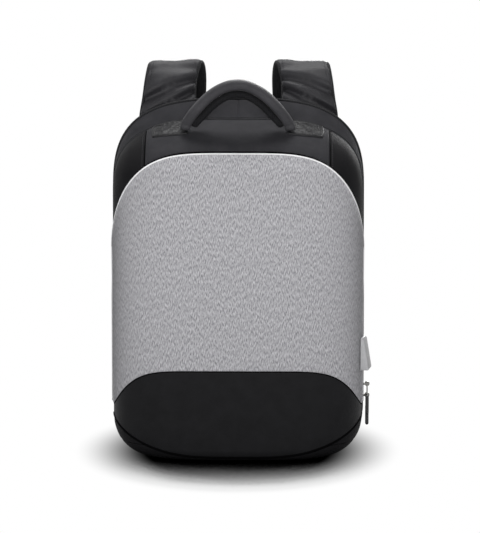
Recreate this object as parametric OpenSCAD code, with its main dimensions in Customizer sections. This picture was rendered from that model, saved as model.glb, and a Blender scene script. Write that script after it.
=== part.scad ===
// Laptop backpack with a moulded grey front, a clamshell zip, padded straps and a USB port.
// Millimetres. +Z is up, the front faces -Y and the origin is on the floor under the base.

/* [Body] */
// Width of the body across its sides
body_w = 300; // [280:1:320]
// Height of the zip line at its middle
zip_h = 400; // [390:1:420]
// Depth of the front half, from the zip plane to the front face
front_d = 105; // [98:1:115]
// Depth of the back half, from the zip plane to the outer face of the back panel
back_d = 34; // [32:1:40]
// Distance of the zip plane behind the middle of the base
zip_y = 32; // [26:1:38]
// Height of the rounded shoulders of the zip line
shoulder_h = 95; // [85:1:105]
// Height over which the front face rolls back into the roof
roof_h = 82; // [70:1:90]
// Rise of the back panel above the zip line
back_rise = 18; // [10:1:22]
// Radius of the rounded bottom edge at the front and the back
base_r = 14; // [10:1:18]
// Radius of the rounded bottom corners at the sides
base_side_r = 42; // [36:1:46]
// Height of the base panel at the sides and the back
base_h = 18; // [14:1:19]

/* [Front panels] */
// Distance of the grey panel's top seam below the top of the zip line
panel_drop = 32; // [26:1:45]
// Height of the rounded top corners of the grey panel
panel_corner_h = 138; // [125:1:150]
// Depth behind the front face at which the grey panel ends on each side
panel_wrap = 70; // [60:1:75]
// Height of the top seam of the lower panel
lower_seam = 110; // [100:1:124]
// Height of the pointed side tips of the lower panel
tip_z = 58; // [52:1:66]
// Height of the hem of the lower panel at its middle
hem_z = 5; // [4:1:9]
// Distance of the yoke seams from the middle
yoke_x = 110; // [100:1:118]
// Thickness of the grey panel
panel_t = 2.4; // [1.8:0.1:3]
// Height of the grey panel above the black fabric
panel_proud = 1.2; // [0.6:0.1:1.6]
// Thickness of the black fabric
fabric_t = 1.4; // [1:0.1:1.6]
// Thickness of the moulded shell
shell_t = 3; // [2:0.1:4]
// Clearance between layers and at seams
layer_gap = 0.4; // [0.3:0.05:0.6]

/* [Zip] */
// Half width of the slot between the front and back fabric
slot_half = 5; // [4.6:0.1:6]
// Gap between the two rows of teeth
teeth_gap = 2; // [1.8:0.1:2.4]
// Width of one row of teeth
teeth_w = 2.4; // [2:0.1:2.8]
// Thickness of a row of teeth
teeth_t = 3; // [2.4:0.1:3.4]
// Width of one zip tape
tape_w = 6.5; // [6:0.1:8]
// Thickness of a zip tape
tape_t = 1; // [0.8:0.1:1.2]
// Height at which the zip ends on each side
zip_end = 48; // [40:1:50]
// Length of a slider
slider_l = 12; // [10:0.5:13]
// Height of the middle of the lower slider
slider_z = 63; // [60:1:68]
// Spacing of the two parked sliders
slider_step = 15; // [14:0.5:18]
// Length of a pull from its pivot to its tip
pull_l = 37; // [30:1:42]

/* [Handle] */
// Half distance between the handle ends
handle_half = 62; // [58:1:68]
// Height of the grip centre line above the handle ends
handle_rise = 50; // [44:1:54]
// Distance of the handle ends in front of the zip plane
handle_reach = 40; // [32:1:46]
// Thickness of the padded grip
grip_t = 13; // [11:0.5:14]
// Width of the padded grip, front to back
grip_w = 22; // [18:1:24]
// Radius of the rounded handle ends
handle_end_r = 5; // [4:0.5:5.5]
// Thickness of the handle underside
underside_t = 7.5; // [6:0.5:8.5]
// Thickness of the handle patches
patch_t = 1.5; // [1:0.1:2]

/* [Straps] */
// Distance of each strap root from the middle
strap_x = 82; // [76:1:86]
// Width of a strap
strap_w = 62; // [56:1:68]
// Thickness of a strap
strap_t = 12; // [9:0.5:13]
// Thickness of the sewn strap root
root_t = 4; // [3:0.5:5]
// Distance of the strap root below the middle of the zip line
root_drop = 28; // [24:1:34]
// Height of the strap crest above its root
strap_crest = 81; // [74:1:90]
// Distance of the hanging strap behind its root
strap_back = 66; // [58:1:72]
// Length of the hanging strap below its root
strap_fall = 208; // [190:1:230]
// Turn of the strap crest, with its inner edge set back
strap_twist = 12; // [6:1:15]
// Inward shift of the strap behind its crest
strap_lean = 11; // [6:1:16]
// Outward shift of the lower strap end
strap_splay = 24; // [16:1:28]
// Width of the webbing
webbing_w = 25; // [20:1:28]
// Thickness of the webbing
webbing_t = 1.6; // [1.2:0.1:2]

/* [Inside] */
// Thickness of the back panel
back_t = 6; // [5:0.5:8]
// Thickness of the frame sheet
frame_t = 2; // [1.5:0.1:2.5]
// Thickness of the padded laptop sleeve
sleeve_t = 3; // [2:0.5:4]
// Clear depth of the laptop sleeve
laptop_d = 11; // [10:0.5:12]
// Width of the laptop sleeve
sleeve_w = 256; // [230:1:260]
// Height of the laptop sleeve
sleeve_h = 276; // [240:1:290]
// Width of the organiser pocket
organiser_w = 180; // [150:1:190]
// Height of the organiser pocket
organiser_h = 170; // [140:1:200]
// Clear depth of the organiser pocket
organiser_d = 18; // [14:1:24]
// Height of the power bank pocket
bank_h = 110; // [90:1:130]
// Thickness of the pocket cloth
pocket_t = 1.2; // [1:0.1:1.6]
// Thickness of the base board
board_t = 3; // [2:0.5:4]

/* [Back pads] */
// Height of the pads over the back panel
pad_t = 9; // [6:0.5:11]
// Width of each upper pad
pad_w = 104; // [90:1:110]
// Height of each upper pad
pad_h = 120; // [100:1:125]
// Gap between the upper pads
pad_gap = 24; // [16:1:30]
// Height of the lumbar pad
lumbar_h = 110; // [90:1:120]
// Height of the trolley strap band
trolley_h = 60; // [50:1:70]
// Clear gap behind the trolley strap
trolley_gap = 7; // [6:0.5:9]

/* [USB port] */
// Height of the USB housing
usb_h = 39; // [34:1:44]
// Width of the USB housing
usb_w = 22; // [20:1:26]
// Projection of the USB housing at its lower end
usb_d = 10; // [9:0.5:12]
// Height of the lower end of the USB housing
usb_z = 104; // [98:1:112]
// Distance of the USB housing in front of the zip plane
usb_reach = 52; // [48:1:56]
// Width of the USB socket
socket_w = 13; // [12.5:0.1:14]
// Height of the USB socket
socket_h = 5.4; // [5:0.1:6]

/* [Hidden] */
$fn = 32;

fabric_colour = [0.13, 0.13, 0.14];
lower_colour = [0.09, 0.09, 0.1];
heather_colour = [0.62, 0.62, 0.64];
lining_colour = [0.3, 0.3, 0.32];
metal_colour = [0.72, 0.73, 0.75];
rubber_colour = [0.78, 0.78, 0.79];

// Exponents of the plan, shoulder, roof and seam curves
plan_pow = 4;
shoulder_pow = 3.05;
roof_pow = 2.4;
roof_ease = 0.75;
corner_pow = 3;
seam_pow = 7;
hem_pow = 4;

half_w = body_w / 2;
shoulder_z = zip_h - shoulder_h;
roof_z = zip_h - roof_h;
back_y = zip_y + back_d;
base_back = back_d - 4;
side_reach = front_d - panel_wrap;
side_angle = asin(pow(side_reach / front_d, plan_pow / 2));
tip_h = 12;
skin_step = 0.05;
solve_steps = 20;
least_half = 0.5;
// Seating gap of pieces that lie on one another, and the free play of moving ones
seat = 0.2;
play = 0.3;

function clamp01(v) = min(1, max(0, v));
function sign_of(v) = v < 0 ? -1 : 1;
function bow(v, p) = pow(1 - pow(clamp01(v), p), 1 / p);
function mirror_x(list) = [for (p = list) [-p.x, p.y]];
function backwards(list) = [for (i = [len(list) - 1:-1:0]) list[i]];

// Front skin: half width and depth at each height, and the curve that joins them in plan
function round_in(z, r) = z >= r ? 0 : r - sqrt(max(0, r * r - (r - z) * (r - z)));
function half_at(z) = z <= shoulder_z ? half_w - round_in(z, base_side_r)
    : max(least_half, half_w * bow((z - shoulder_z) / shoulder_h, shoulder_pow));
function deep_at(z) = z <= roof_z ? front_d - round_in(z, base_r)
    : max(least_half, front_d * pow(1 - pow(clamp01((z - roof_z) / roof_h), roof_pow), roof_ease));
base_tuck = 0.7;
function back_at(z) = base_back - base_tuck * round_in(z, base_r);
function reach_at(x, z) = deep_at(z) * bow(abs(x) / half_at(z), plan_pow);
function width_at(f, z) = half_at(z) * bow(f / deep_at(z), plan_pow);
function depth_share(p) = p.y < zip_y ? (zip_y - p.y) / deep_at(p.z) : (p.y - zip_y) / back_at(p.z);
function skin_level(p) = pow(abs(p.x) / half_at(p.z), plan_pow) + pow(depth_share(p), plan_pow);
function skin_slope(p, d) = skin_level(p + d) - skin_level(p - d);
function skin_normal(p) =
    let (g = [for (d = skin_step * [[1, 0, 0], [0, 1, 0], [0, 0, 1]]) skin_slope(p, d)])
    g / norm(g);
function lifted(p, d) = p + d * skin_normal(p);
function lifted_rows(rows, d) = [for (row = rows) [for (p = row) lifted(p, d)]];
function plan_x(t) = sign_of(cos(t)) * pow(abs(cos(t)), 2 / plan_pow);
function plan_f(t) = pow(abs(sin(t)), 2 / plan_pow);
function skin_at(t, z) = [half_at(z) * plan_x(t), zip_y - deep_at(z) * plan_f(t), z];

// Height of the roof at a given distance x from the middle and f in front of the zip plane
function roof_at(x, f, lo = roof_z - roof_h, hi = zip_h, n = solve_steps) =
    let (mid = (lo + hi) / 2)
    n == 0 ? mid : reach_at(x, mid) > f ? roof_at(x, f, mid, hi, n - 1) : roof_at(x, f, lo, mid, n - 1);
function roof_point(x, f) = [x, zip_y - f, roof_at(x, f)];

// Seams of the grey panel and of the lower panel
panel_top = zip_h - panel_drop;
corner_z = panel_top - panel_corner_h;
function panel_x(z) = half_w * bow((z - corner_z) / panel_corner_h, corner_pow);
function panel_z(x) = corner_z + panel_corner_h * bow(abs(x) / half_w, corner_pow);
function panel_end(t, lo = corner_z, hi = panel_top, n = solve_steps) =
    let (mid = (lo + hi) / 2)
    n == 0 ? mid : panel_x(mid) > abs(skin_at(t, mid).x) ? panel_end(t, mid, hi, n - 1)
        : panel_end(t, lo, mid, n - 1);
function seam_share(t) = clamp01(abs(plan_x(t)) / plan_x(side_angle));
function lower_top(t) = lower_seam - (lower_seam - tip_z) * pow(seam_share(t), seam_pow);
function lower_hem(t) = hem_z + (tip_z - tip_h - hem_z) * pow(seam_share(t), hem_pow);
function hem_share(z) = pow(clamp01((z - hem_z) / (tip_z - tip_h - hem_z)), 1 / hem_pow);
function corner_reach(z) = deep_at(z) * bow(hem_share(z) * plan_x(side_angle), plan_pow);
function side_edge(z) = z < tip_z - tip_h ? max(side_reach, corner_reach(z))
    : z < corner_z ? side_reach
    : panel_x(z) > yoke_x ? max(side_reach, reach_at(panel_x(z), z))
    : reach_at(yoke_x, z);

// Closed solid between two grids of points with the same rows and columns
function grid_loop(nr, nc) = concat([for (j = [0:nc - 1]) j], [for (i = [1:nr - 1]) i * nc + nc - 1],
    [for (j = [nc - 2:-1:0]) (nr - 1) * nc + j], [for (i = [nr - 2:-1:1]) i * nc]);
function grid_faces(nr, nc, start, flip) = [for (i = [0:nr - 2], j = [0:nc - 2])
    let (a = start + i * nc + j, b = a + 1, c = b + nc, d = a + nc)
    each flip ? [[a, c, b], [a, d, c]] : [[a, b, c], [a, c, d]]];
function grid_sides(loop, shift) = [for (k = [0:len(loop) - 1])
    let (a = loop[k], b = loop[(k + 1) % len(loop)])
    each [[b, a, a + shift], [b, a + shift, b + shift]]];
module sheet_solid(outer, inner) {
    nr = len(outer);
    nc = len(outer[0]);
    polyhedron([for (g = [outer, inner], row = g, p = row) p],
        concat(grid_faces(nr, nc, 0, false), grid_faces(nr, nc, nr * nc, true),
            grid_sides(grid_loop(nr, nc), nr * nc)));
}
module skin_sheet(rows, d_in, d_out) {
    sheet_solid(lifted_rows(rows, d_out), lifted_rows(rows, d_in));
}

// Closed solid through a list of rings, each turning right-handed about the path
module ring_solid(rings) {
    n = len(rings[0]);
    last = (len(rings) - 1) * n;
    sides = [for (i = [0:len(rings) - 2], k = [0:n - 1])
        let (a = i * n + k, b = i * n + (k + 1) % n)
        each [[a, a + n, b + n], [a, b + n, b]]];
    caps = [for (k = [1:n - 2]) each [[0, k, k + 1], [last, last + k + 1, last + k]]];
    polyhedron([for (r = rings, p = r) p], concat(sides, caps));
}
function unit(v) = v / norm(v);
function path_way(path, i) = unit(path[min(i + 1, len(path) - 1)] - path[max(i - 1, 0)]);
function slab_ring(p, way, side, w, t, n, soft) =
    let (up = cross(way, side))
    [for (k = [0:n - 1])
        let (a = 360 * k / n, c = cos(a), s = sin(a))
        p + side * (w / 2 * sign_of(c) * pow(abs(c), soft)) + up * (t / 2 * sign_of(s) * pow(abs(s), soft))];
function square_side(side, way) = unit(side - way * (side * way));

module prism_y(pts, y0, y1) translate([0, y1, 0]) rotate([90, 0, 0]) linear_extrude(y1 - y0) polygon(pts);
module prism_x(pts, x0, x1) translate([x0, 0, 0]) rotate([90, 0, 90]) linear_extrude(x1 - x0) polygon(pts);
module block(low, high) translate(low) cube(high - low);
module left_of() mirror([1, 0, 0]) children();

// Outline of the zip line and of the back panel, moved outwards by d
arch_steps = 20;
function arch_point(q, h, d) =
    let (c = cos(q), s = sin(q), e = 2 / shoulder_pow,
        u = pow(abs(c), e), v = pow(abs(s), e),
        g = [pow(u, shoulder_pow - 1) / half_w, pow(v, shoulder_pow - 1) / h], m = g / norm(g))
    [sign_of(c) * (half_w * u + d * m.x), shoulder_z + h * v + d * m.y];
function leg_heights(z0) = z0 < base_side_r ? [z0, (z0 + base_side_r) / 2, base_side_r] : [z0];
function leg_line(heights, d) = [for (z = heights) [half_at(z) + d, z]];
function arch_line(z0, h, d) =
    let (leg = leg_line(leg_heights(z0), d))
    concat(leg, [for (i = [0:arch_steps]) arch_point(180 * i / arch_steps, h, d)],
        backwards(mirror_x(leg)));
function arch_ring(z0, h, d_in, d_out) = concat(arch_line(z0, h, d_out), backwards(arch_line(z0, h, d_in)));
back_arch = shoulder_h + back_rise;

// Base panel: a rounded tray whose front edge follows the hem of the lower panel
tray_steps = 48;
tray_rows = 5;
tray_mid = [0, zip_y - front_d / 2];
function tray_edge(t) = t > 180 ? base_h : min(base_h, lower_hem(t));
function tray_point(t, i) =
    let (z = tray_edge(t) * pow(1 - i / tray_rows, 2))
    [half_at(z) * plan_x(t), zip_y + (sin(t) < 0 ? back_at(z) : -deep_at(z)) * plan_f(t), z];
function tray_ring(i, d) = [for (k = [0:tray_steps - 1]) lifted(tray_point(360 * k / tray_steps, i), -d)];
function tray_skin(d) = concat([for (i = [0:tray_rows]) each tray_ring(i, d)], [[tray_mid.x, tray_mid.y, d]]);
module base_panel() {
    n = tray_steps;
    ring = tray_rows * n;
    shift = (tray_rows + 1) * n + 1;
    walls = [for (i = [0:tray_rows - 1], k = [0:n - 1])
        let (a = i * n + k, b = i * n + (k + 1) % n)
        each [[a, a + n, b + n], [a, b + n, b]]];
    floor_faces = [for (k = [0:n - 1]) [ring + k, ring + n, ring + (k + 1) % n]];
    outer = concat(walls, floor_faces);
    inner = [for (f = outer) [f[0] + shift, f[2] + shift, f[1] + shift]];
    rim = [for (k = [0:n - 1])
        let (b = (k + 1) % n)
        each [[k, b, b + shift], [k, b + shift, k + shift]]];
    color(lower_colour) polyhedron(concat(tray_skin(0), tray_skin(fabric_t)),
        concat(outer, inner, rim));
}

board_in = 2;
board_half = half_w - base_side_r + board_in;
board_front = front_d - base_r - board_in;
board_back = base_back - base_tuck * base_r - board_in;
function board_point(t) = [board_half * plan_x(t), zip_y + (sin(t) < 0 ? board_back : -board_front) * plan_f(t)];
module base_board() {
    color(lining_colour) translate([0, 0, fabric_t + layer_gap / 2])
        linear_extrude(board_t)
            polygon([for (k = [0:tray_steps - 1]) board_point(360 * k / tray_steps)]);
}

// Grids over the front skin
front_steps = 16;
function front_angle(j) = side_angle + (180 - 2 * side_angle) * j / front_steps;
function front_rows(shares, low, high) = [for (s = shares) [for (j = [0:front_steps])
    let (t = front_angle(j), z0 = low(t), z1 = high(t)) skin_at(t, z0 + (z1 - z0) * s)]];
panel_shares = [0, 0.15, 0.35, 0.55, 0.7, 0.82, 0.92, 1];
lower_shares = [0, 0.1, 0.25, 0.5, 0.75, 1];
panel_rows = front_rows(panel_shares, function(t) lower_top(t) + layer_gap / 2,
    function(t) panel_end(t) - layer_gap / 2);
lower_rows = front_rows(lower_shares, function(t) lower_hem(t) + layer_gap / 2,
    function(t) lower_top(t) - layer_gap / 2);

module moulded_shell() {
    color(lining_colour) skin_sheet(concat(lower_rows, panel_rows), -fabric_t - layer_gap - shell_t,
        -fabric_t - layer_gap);
}
module front_panel() color(heather_colour) skin_sheet(panel_rows, panel_proud - panel_t, panel_proud);
module lower_front_panel() color(lower_colour) skin_sheet(lower_rows, -fabric_t, 0);

// Yoke: from the grey panel's top seam over the roof to the zip slot
yoke_steps = 12;
yoke_least = 2 * slot_half;
yoke_shares = [0, 0.12, 0.28, 0.5, 0.75, 1];
function yoke_point(x, s) =
    let (f0 = max(yoke_least, reach_at(x, panel_z(x) + layer_gap)))
    roof_point(x, f0 + (slot_half - f0) * s);
module top_yoke() {
    half = yoke_x - layer_gap;
    rows = [for (s = yoke_shares) [for (j = [0:yoke_steps]) yoke_point(half - 2 * half * j / yoke_steps, s)]];
    color(fabric_colour) skin_sheet(rows, -fabric_t, 0);
}

// Side panel: shoulder, side wall and lower front corner in one piece
side_cols = 6;
seam_gap = 2.8 * layer_gap;
side_top = roof_at(yoke_x, slot_half + 1);
bend_z = panel_end(side_angle);
side_heights = concat(
    [for (s = [0, 0.25, 0.5, 0.75, 1]) base_h + layer_gap + (tip_z - tip_h - base_h - layer_gap) * s],
    [for (s = [0.01, 0.35, 0.7, 1]) tip_z + (bend_z - tip_z) * s],
    [for (s = [0.12, 0.25, 0.38, 0.5, 0.62, 0.74, 0.86, 0.95, 1]) bend_z + (side_top - bend_z) * s]);
module side_panel() {
    rows = [for (z = side_heights) [for (j = [0:side_cols])
        let (f1 = max(slot_half + least_half, side_edge(z) - seam_gap))
        let (f = slot_half + (f1 - slot_half) * j / side_cols)
        [width_at(f, z), zip_y - f, z]]];
    color(fabric_colour) skin_sheet(rows, -fabric_t, 0);
}
module right_side_panel() side_panel();
module left_side_panel() left_of() side_panel();

// Zip: a tape and a row of teeth on each side of the zip plane
back_tape_out = -fabric_t - layer_gap;
tape_step = 1.6;
front_tape_out = back_tape_out - tape_step;
teeth_out = -0.5;
module zip_tape(y0, y1, out) prism_y(arch_ring(zip_end, shoulder_h, out - tape_t, out), y0, y1);
module zip_teeth(y0, y1) prism_y(arch_ring(zip_end, shoulder_h, teeth_out - teeth_t, teeth_out), y0, y1);
teeth_near = teeth_gap / 2;
teeth_far = teeth_near + teeth_w;
tape_near = teeth_far + seat / 2;
tape_far = tape_near + tape_w;
module front_zip_tape() color(lower_colour) zip_tape(zip_y - tape_far, zip_y - tape_near, front_tape_out);
module front_zip_teeth() color(fabric_colour) zip_teeth(zip_y - teeth_far, zip_y - teeth_near);
module back_zip_tape() color(lower_colour) zip_tape(zip_y + tape_near, zip_y + tape_far, back_tape_out);
module back_zip_teeth() color(fabric_colour) zip_teeth(zip_y + teeth_near, zip_y + teeth_far);

stop_h = 4;
module zip_end_stops() {
    low = [half_w + teeth_out - teeth_t, zip_y - teeth_far, zip_end - stop_h - seat];
    high = [half_w + teeth_out, zip_y - play, zip_end - seat];
    color(metal_colour) {
        block(low, high);
        left_of() block(low, high);
    }
}

// Handle patches and handle
patch_near = handle_half - 4;
patch_far = handle_half + 41;
patch_front = handle_reach + 8;
patch_back = 9;
patch_cols = 5;
patch_rows = 4;
module handle_patch() {
    rows = [for (i = [0:patch_rows]) [for (j = [0:patch_cols])
        roof_point(patch_far + (patch_near - patch_far) * j / patch_cols,
            patch_front + (patch_back - patch_front) * i / patch_rows)]];
    color(fabric_colour) skin_sheet(rows, seat / 2, seat / 2 + patch_t);
}
module right_handle_patch() handle_patch();
module left_handle_patch() left_of() handle_patch();

handle_foot = roof_point(handle_half, handle_reach);
handle_pivot = lifted(handle_foot, seat / 2 + patch_t + layer_gap + handle_end_r);
handle_y = handle_pivot.y;
handle_z = handle_pivot.z;
handle_span = abs(handle_pivot.x);
handle_bow = 0.8;
handle_steps = 14;
handle_sides = 12;
function handle_arc(q) =
    let (u = cos(q), v = pow(max(0, cos(90 * u)), handle_bow))
    [handle_span * u, handle_y, handle_z + handle_rise * v];
function handle_way(q) = unit(handle_arc(min(180, q + 3)) - handle_arc(max(0, q - 3)));
function handle_ring(q, w, t, out) =
    let (way = q < 1 ? [0, 0, 1] : q > 179 ? [0, 0, -1] : handle_way(q))
    slab_ring(handle_arc(q) + out * [way.z, 0, -way.x], way, [0, 1, 0], w, t, handle_sides, 0.8);
function end_ring(side, s) = [for (k = [0:handle_sides - 1])
    let (a = 360 * k / handle_sides, r = handle_end_r * cos(s))
    [side * handle_span - side * r * sin(a), handle_y + r * cos(a), handle_z - handle_end_r * sin(s)]];
grip_swell = 1.6;
function grip_share(q) = min(1, sin(q) * grip_swell);
function grip_body(q) = handle_ring(q, 2 * handle_end_r + (grip_w - 2 * handle_end_r) * grip_share(q),
    2 * handle_end_r + (grip_t - 2 * handle_end_r) * grip_share(q), 0);
module handle_grip() {
    rings = concat([for (s = [82, 55, 28]) end_ring(1, s)],
        [for (i = [0:handle_steps]) grip_body(180 * i / handle_steps)],
        [for (s = [28, 55, 82]) end_ring(-1, s)]);
    color(fabric_colour) ring_solid(rings);
}
under_from = 36;
under_w = 16;
module handle_underside() {
    out = -(grip_t + underside_t) / 2 - layer_gap;
    rings = [for (i = [0:10]) let (q = under_from + (180 - 2 * under_from) * i / 10)
        handle_ring(q, under_w, underside_t, out)];
    color(lower_colour) ring_solid(rings);
}

// USB port on the right front corner of the grey panel
usb_at = [width_at(usb_reach, usb_z), zip_y - usb_reach, usb_z];
usb_normal = skin_normal(usb_at);
usb_turn = atan2(usb_normal.y, usb_normal.x);
socket_in = 2.4;
socket_deep = 16;
socket_wall = 0.5;
module usb_place() translate(lifted(usb_at, panel_proud + layer_gap)) rotate([0, 0, usb_turn]) children();
module usb_housing() {
    nose = 2.5;
    profile = [[0, 0], [usb_d - 1, 0], [usb_d, 1.5], [usb_d * 0.7, usb_h * 0.55],
        [usb_d * 0.42, usb_h - nose], [usb_d * 0.25, usb_h], [0, usb_h]];
    color(rubber_colour) usb_place() difference() {
        translate([0, usb_w / 2, 0]) rotate([90, 0, 0]) linear_extrude(usb_w) polygon(profile);
        block([socket_in, -socket_w / 2, -1], [socket_in + socket_h, socket_w / 2, socket_deep]);
    }
}
module usb_socket_shell() {
    c = seat / 2;
    low = [socket_in + c, -socket_w / 2 + c, layer_gap];
    high = [socket_in + socket_h - c, socket_w / 2 - c, socket_deep - c];
    inset = [socket_wall, socket_wall, 0];
    color(metal_colour) usb_place() difference() {
        block(low, high);
        block(low + inset - [0, 0, 1], high - inset - [0, 0, socket_wall]);
    }
}
module usb_socket_tongue() {
    tongue_w = 9;
    tongue_t = 1.6;
    tongue_z = 2.5;
    low = [socket_in + socket_wall + layer_gap, -tongue_w / 2, tongue_z];
    high = [low.x + tongue_t, tongue_w / 2, socket_deep - socket_wall - seat];
    color("white") usb_place() block(low, high);
}

// Pockets on the inner face of the front half
shell_in = fabric_t + layer_gap + shell_t;
pocket_z = 30;
pocket_seat = 0.6;
bank_seat_gap = 0.9;
module organiser_pocket() {
    half = organiser_w / 2;
    edge = zip_y - reach_at(half, pocket_z) + shell_in + pocket_seat;
    front = zip_y - front_d + shell_in + organiser_d;
    back_wall = front + pocket_t;
    color(lining_colour) {
        block([-half, front, pocket_z], [half, back_wall, pocket_z + organiser_h]);
        block([-half, edge, pocket_z], [-half + pocket_t, front, pocket_z + organiser_h]);
        block([half - pocket_t, edge, pocket_z], [half, front, pocket_z + organiser_h]);
        block([-half + pocket_t, edge, pocket_z], [half - pocket_t, front, pocket_z + pocket_t]);
    }
}
bank_x = 112;
bank_front = 80;
bank_back = 42;
function bank_seat(f) = width_at(f, pocket_z) - shell_in - bank_seat_gap;
module power_bank_pocket() {
    y0 = zip_y - bank_front;
    y1 = zip_y - bank_back;
    front_edge = bank_seat(bank_front) - 2;
    back_edge = bank_seat(bank_back);
    inner = bank_x + pocket_t;
    bottom = [[inner, y0 + pocket_t], [front_edge, y0 + pocket_t], [back_edge, y1 - pocket_t],
        [inner, y1 - pocket_t]];
    outline = [[front_edge, y0], [bank_x, y0], [bank_x, y1], [back_edge, y1], [back_edge, y1 - pocket_t],
        [inner, y1 - pocket_t], [inner, y0 + pocket_t], [front_edge, y0 + pocket_t]];
    color(lining_colour) translate([0, 0, pocket_z]) {
        linear_extrude(bank_h) polygon(outline);
        linear_extrude(pocket_t) polygon(bottom);
    }
}

// Back half: rim, panel, sheet, sleeve and pads
rim_z = base_h + 2;
rim_end = back_y - back_t - seat;
rim_stations = [0, 0.3, 1];
function rim_rows(d) = [for (s = rim_stations)
    let (y = zip_y + slot_half + (rim_end - zip_y - slot_half) * s)
    [for (p = arch_line(rim_z, shoulder_h + back_rise * s, d)) [p.x, y, p.y]]];
module rim_gusset() color(fabric_colour) sheet_solid(rim_rows(0), rim_rows(-fabric_t));

panel_edge = 3;
module back_panel() {
    color(fabric_colour) {
        prism_y(arch_line(rim_z, back_arch, 0), back_y - back_t, back_y - panel_edge);
        prism_y(arch_line(rim_z + panel_edge, back_arch, -panel_edge), back_y - panel_edge, back_y);
    }
}
sheet_in = 4;
module frame_sheet() {
    outline = arch_line(rim_z + sheet_in, back_arch, -sheet_in);
    color(lining_colour) prism_y(outline, rim_end - frame_t, rim_end);
}
sleeve_back = rim_end - frame_t - seat;
sleeve_front = sleeve_back - laptop_d - sleeve_t;
sleeve_z = rim_z + sheet_in;
module laptop_sleeve() {
    half = sleeve_w / 2;
    inner = sleeve_front + sleeve_t;
    top = sleeve_z + sleeve_h;
    color(lining_colour) {
        block([-half, sleeve_front, sleeve_z], [half, inner, top]);
        for (x = [-half, half - sleeve_t])
            block([x, inner, sleeve_z], [x + sleeve_t, sleeve_back, top]);
        block([-half + sleeve_t, inner, sleeve_z], [half - sleeve_t, sleeve_back, sleeve_z + sleeve_t]);
    }
}
module sleeve_strap() {
    t = 1.4;
    half = 20;
    up = 40;
    down = 34;
    over = sleeve_z + sleeve_h + sheet_in;
    front = sleeve_front - seat;
    back = sleeve_back;
    profile = [[back, over + up], [back, over], [front, over], [front, over - down], [front - t, over - down],
        [front - t, over + t], [back - t, over + t], [back - t, over + up]];
    color(fabric_colour) prism_x(profile, -half, half);
}

pad_steps = 8;
function pad_lift(u) = pow(max(0, 1 - pow(abs(u), 4)), 0.5);
function pad_rows(x0, x1, z0, z1, y, t) = [for (i = [0:pad_steps]) [for (j = [0:pad_steps])
    let (u = cos(180 * j / pad_steps), v = -cos(180 * i / pad_steps))
    let (x = (x0 + x1 - u * (x1 - x0)) / 2, z = (z0 + z1 + v * (z1 - z0)) / 2)
    [x, y + t * pad_lift(u) * pad_lift(v), z]]];
module pad(x0, x1, z0, z1) {
    edge = 1.5;
    y = back_y + seat;
    sheet_solid(pad_rows(x0, x1, z0, z1, y + edge, pad_t - edge), pad_rows(x0, x1, z0, z1, y, 0));
}
pad_drop = 14;
pad_clear = 1;
pad_top = zip_h - root_drop - pad_drop;
module back_pad() {
    color(lower_colour) pad(pad_gap / 2, pad_gap / 2 + pad_w, pad_top - pad_h, pad_top);
}
module right_back_pad() back_pad();
module left_back_pad() left_of() back_pad();
// Place and outline of the anchor tabs, which the lumbar pad lies between
tab_in = 32;
tab_foot = 6;
tab_side = 24;
tab_flare = 13;
tab_step = 18;
tab_x = half_w - tab_in;
lumbar_z = 48;
lumbar_half = tab_x - tab_flare - pad_clear;
module lumbar_pad() color(lower_colour) pad(-lumbar_half, lumbar_half, lumbar_z, lumbar_z + lumbar_h);

trolley_half = 112;
trolley_t = 2;
trolley_over = 6;
trolley_z = lumbar_z + lumbar_h + trolley_over;
trolley_steps = 12;
function trolley_bow(u) = trolley_gap * (1 - pow(u, 4));
function trolley_line(d) = [for (i = [0:trolley_steps])
    let (u = 1 - 2 * i / trolley_steps) [trolley_half * u, back_y + seat + trolley_bow(u) + d]];
module trolley_strap() {
    color(fabric_colour) translate([0, 0, trolley_z]) linear_extrude(trolley_h)
        polygon(concat(trolley_line(0), backwards(trolley_line(trolley_t))));
}

// Straps: sewn root, crest and a back run down to the adjuster
root_z = zip_h - root_drop;
yoke_t = 1.2;
yoke_up = 20;
yoke_down = 12;
root_gap = seat + yoke_t + play + seat;
root_y = back_y + root_gap + root_t / 2;
// Each station as shares: set back, rise to the crest or fall, thickness, turn, splay, lean and width
strap_stations = [[0, -0.04, 0, 0, 0.12, 0, 1.06], [0, 0, 0.1, 0, 0.14, 0, 1.1],
    [0.11, 0.25, 0.8, 0.1, 0.16, 0, 1.12], [0.21, 0.52, 1, 0.4, 0.1, 0, 1.06],
    [0.32, 0.77, 1, 0.8, 0.04, 0, 1.02], [0.48, 0.95, 1, 1, 0, 0.15, 1],
    [0.68, 1, 1, 1, 0, 0.5, 1], [0.86, 0.91, 1, 1, 0, 0.9, 1], [0.97, 0.69, 1, 0.9, 0, 1, 1],
    [1, 0.37, 1, 0.7, 0.05, 0.9, 1], [0.97, -0.1, 1, 0.4, 0.25, 0.6, 0.98],
    [0.9, -0.38, 1, 0.2, 0.5, 0.3, 0.93], [0.8, -0.62, 1, 0.1, 0.7, 0.1, 0.86],
    [0.7, -0.84, 0.9, 0, 0.87, 0, 0.78], [0.6, -1, 0.5, 0, 1, 0, 0.68]];
function strap_lift(share) = share * (share < 0 ? strap_fall : strap_crest);
function strap_shift(s) = strap_splay * s[4] - strap_lean * s[5];
strap_path = [for (s = strap_stations)
    [strap_x + strap_shift(s), root_y + strap_back * s[0], root_z + strap_lift(s[1])]];
strap_sides = 12;
function strap_ring(i) =
    let (s = strap_stations[i], way = path_way(strap_path, i), a = strap_twist * s[3],
        side = square_side([-cos(a), sin(a), 0], way))
    slab_ring(strap_path[i], way, side, strap_w * s[6], root_t + (strap_t - root_t) * s[2], strap_sides, 0.6);
module strap() {
    color(fabric_colour) ring_solid([for (i = [0:len(strap_path) - 1]) strap_ring(i)]);
}
module right_strap() strap();
module left_strap() left_of() strap();

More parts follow.
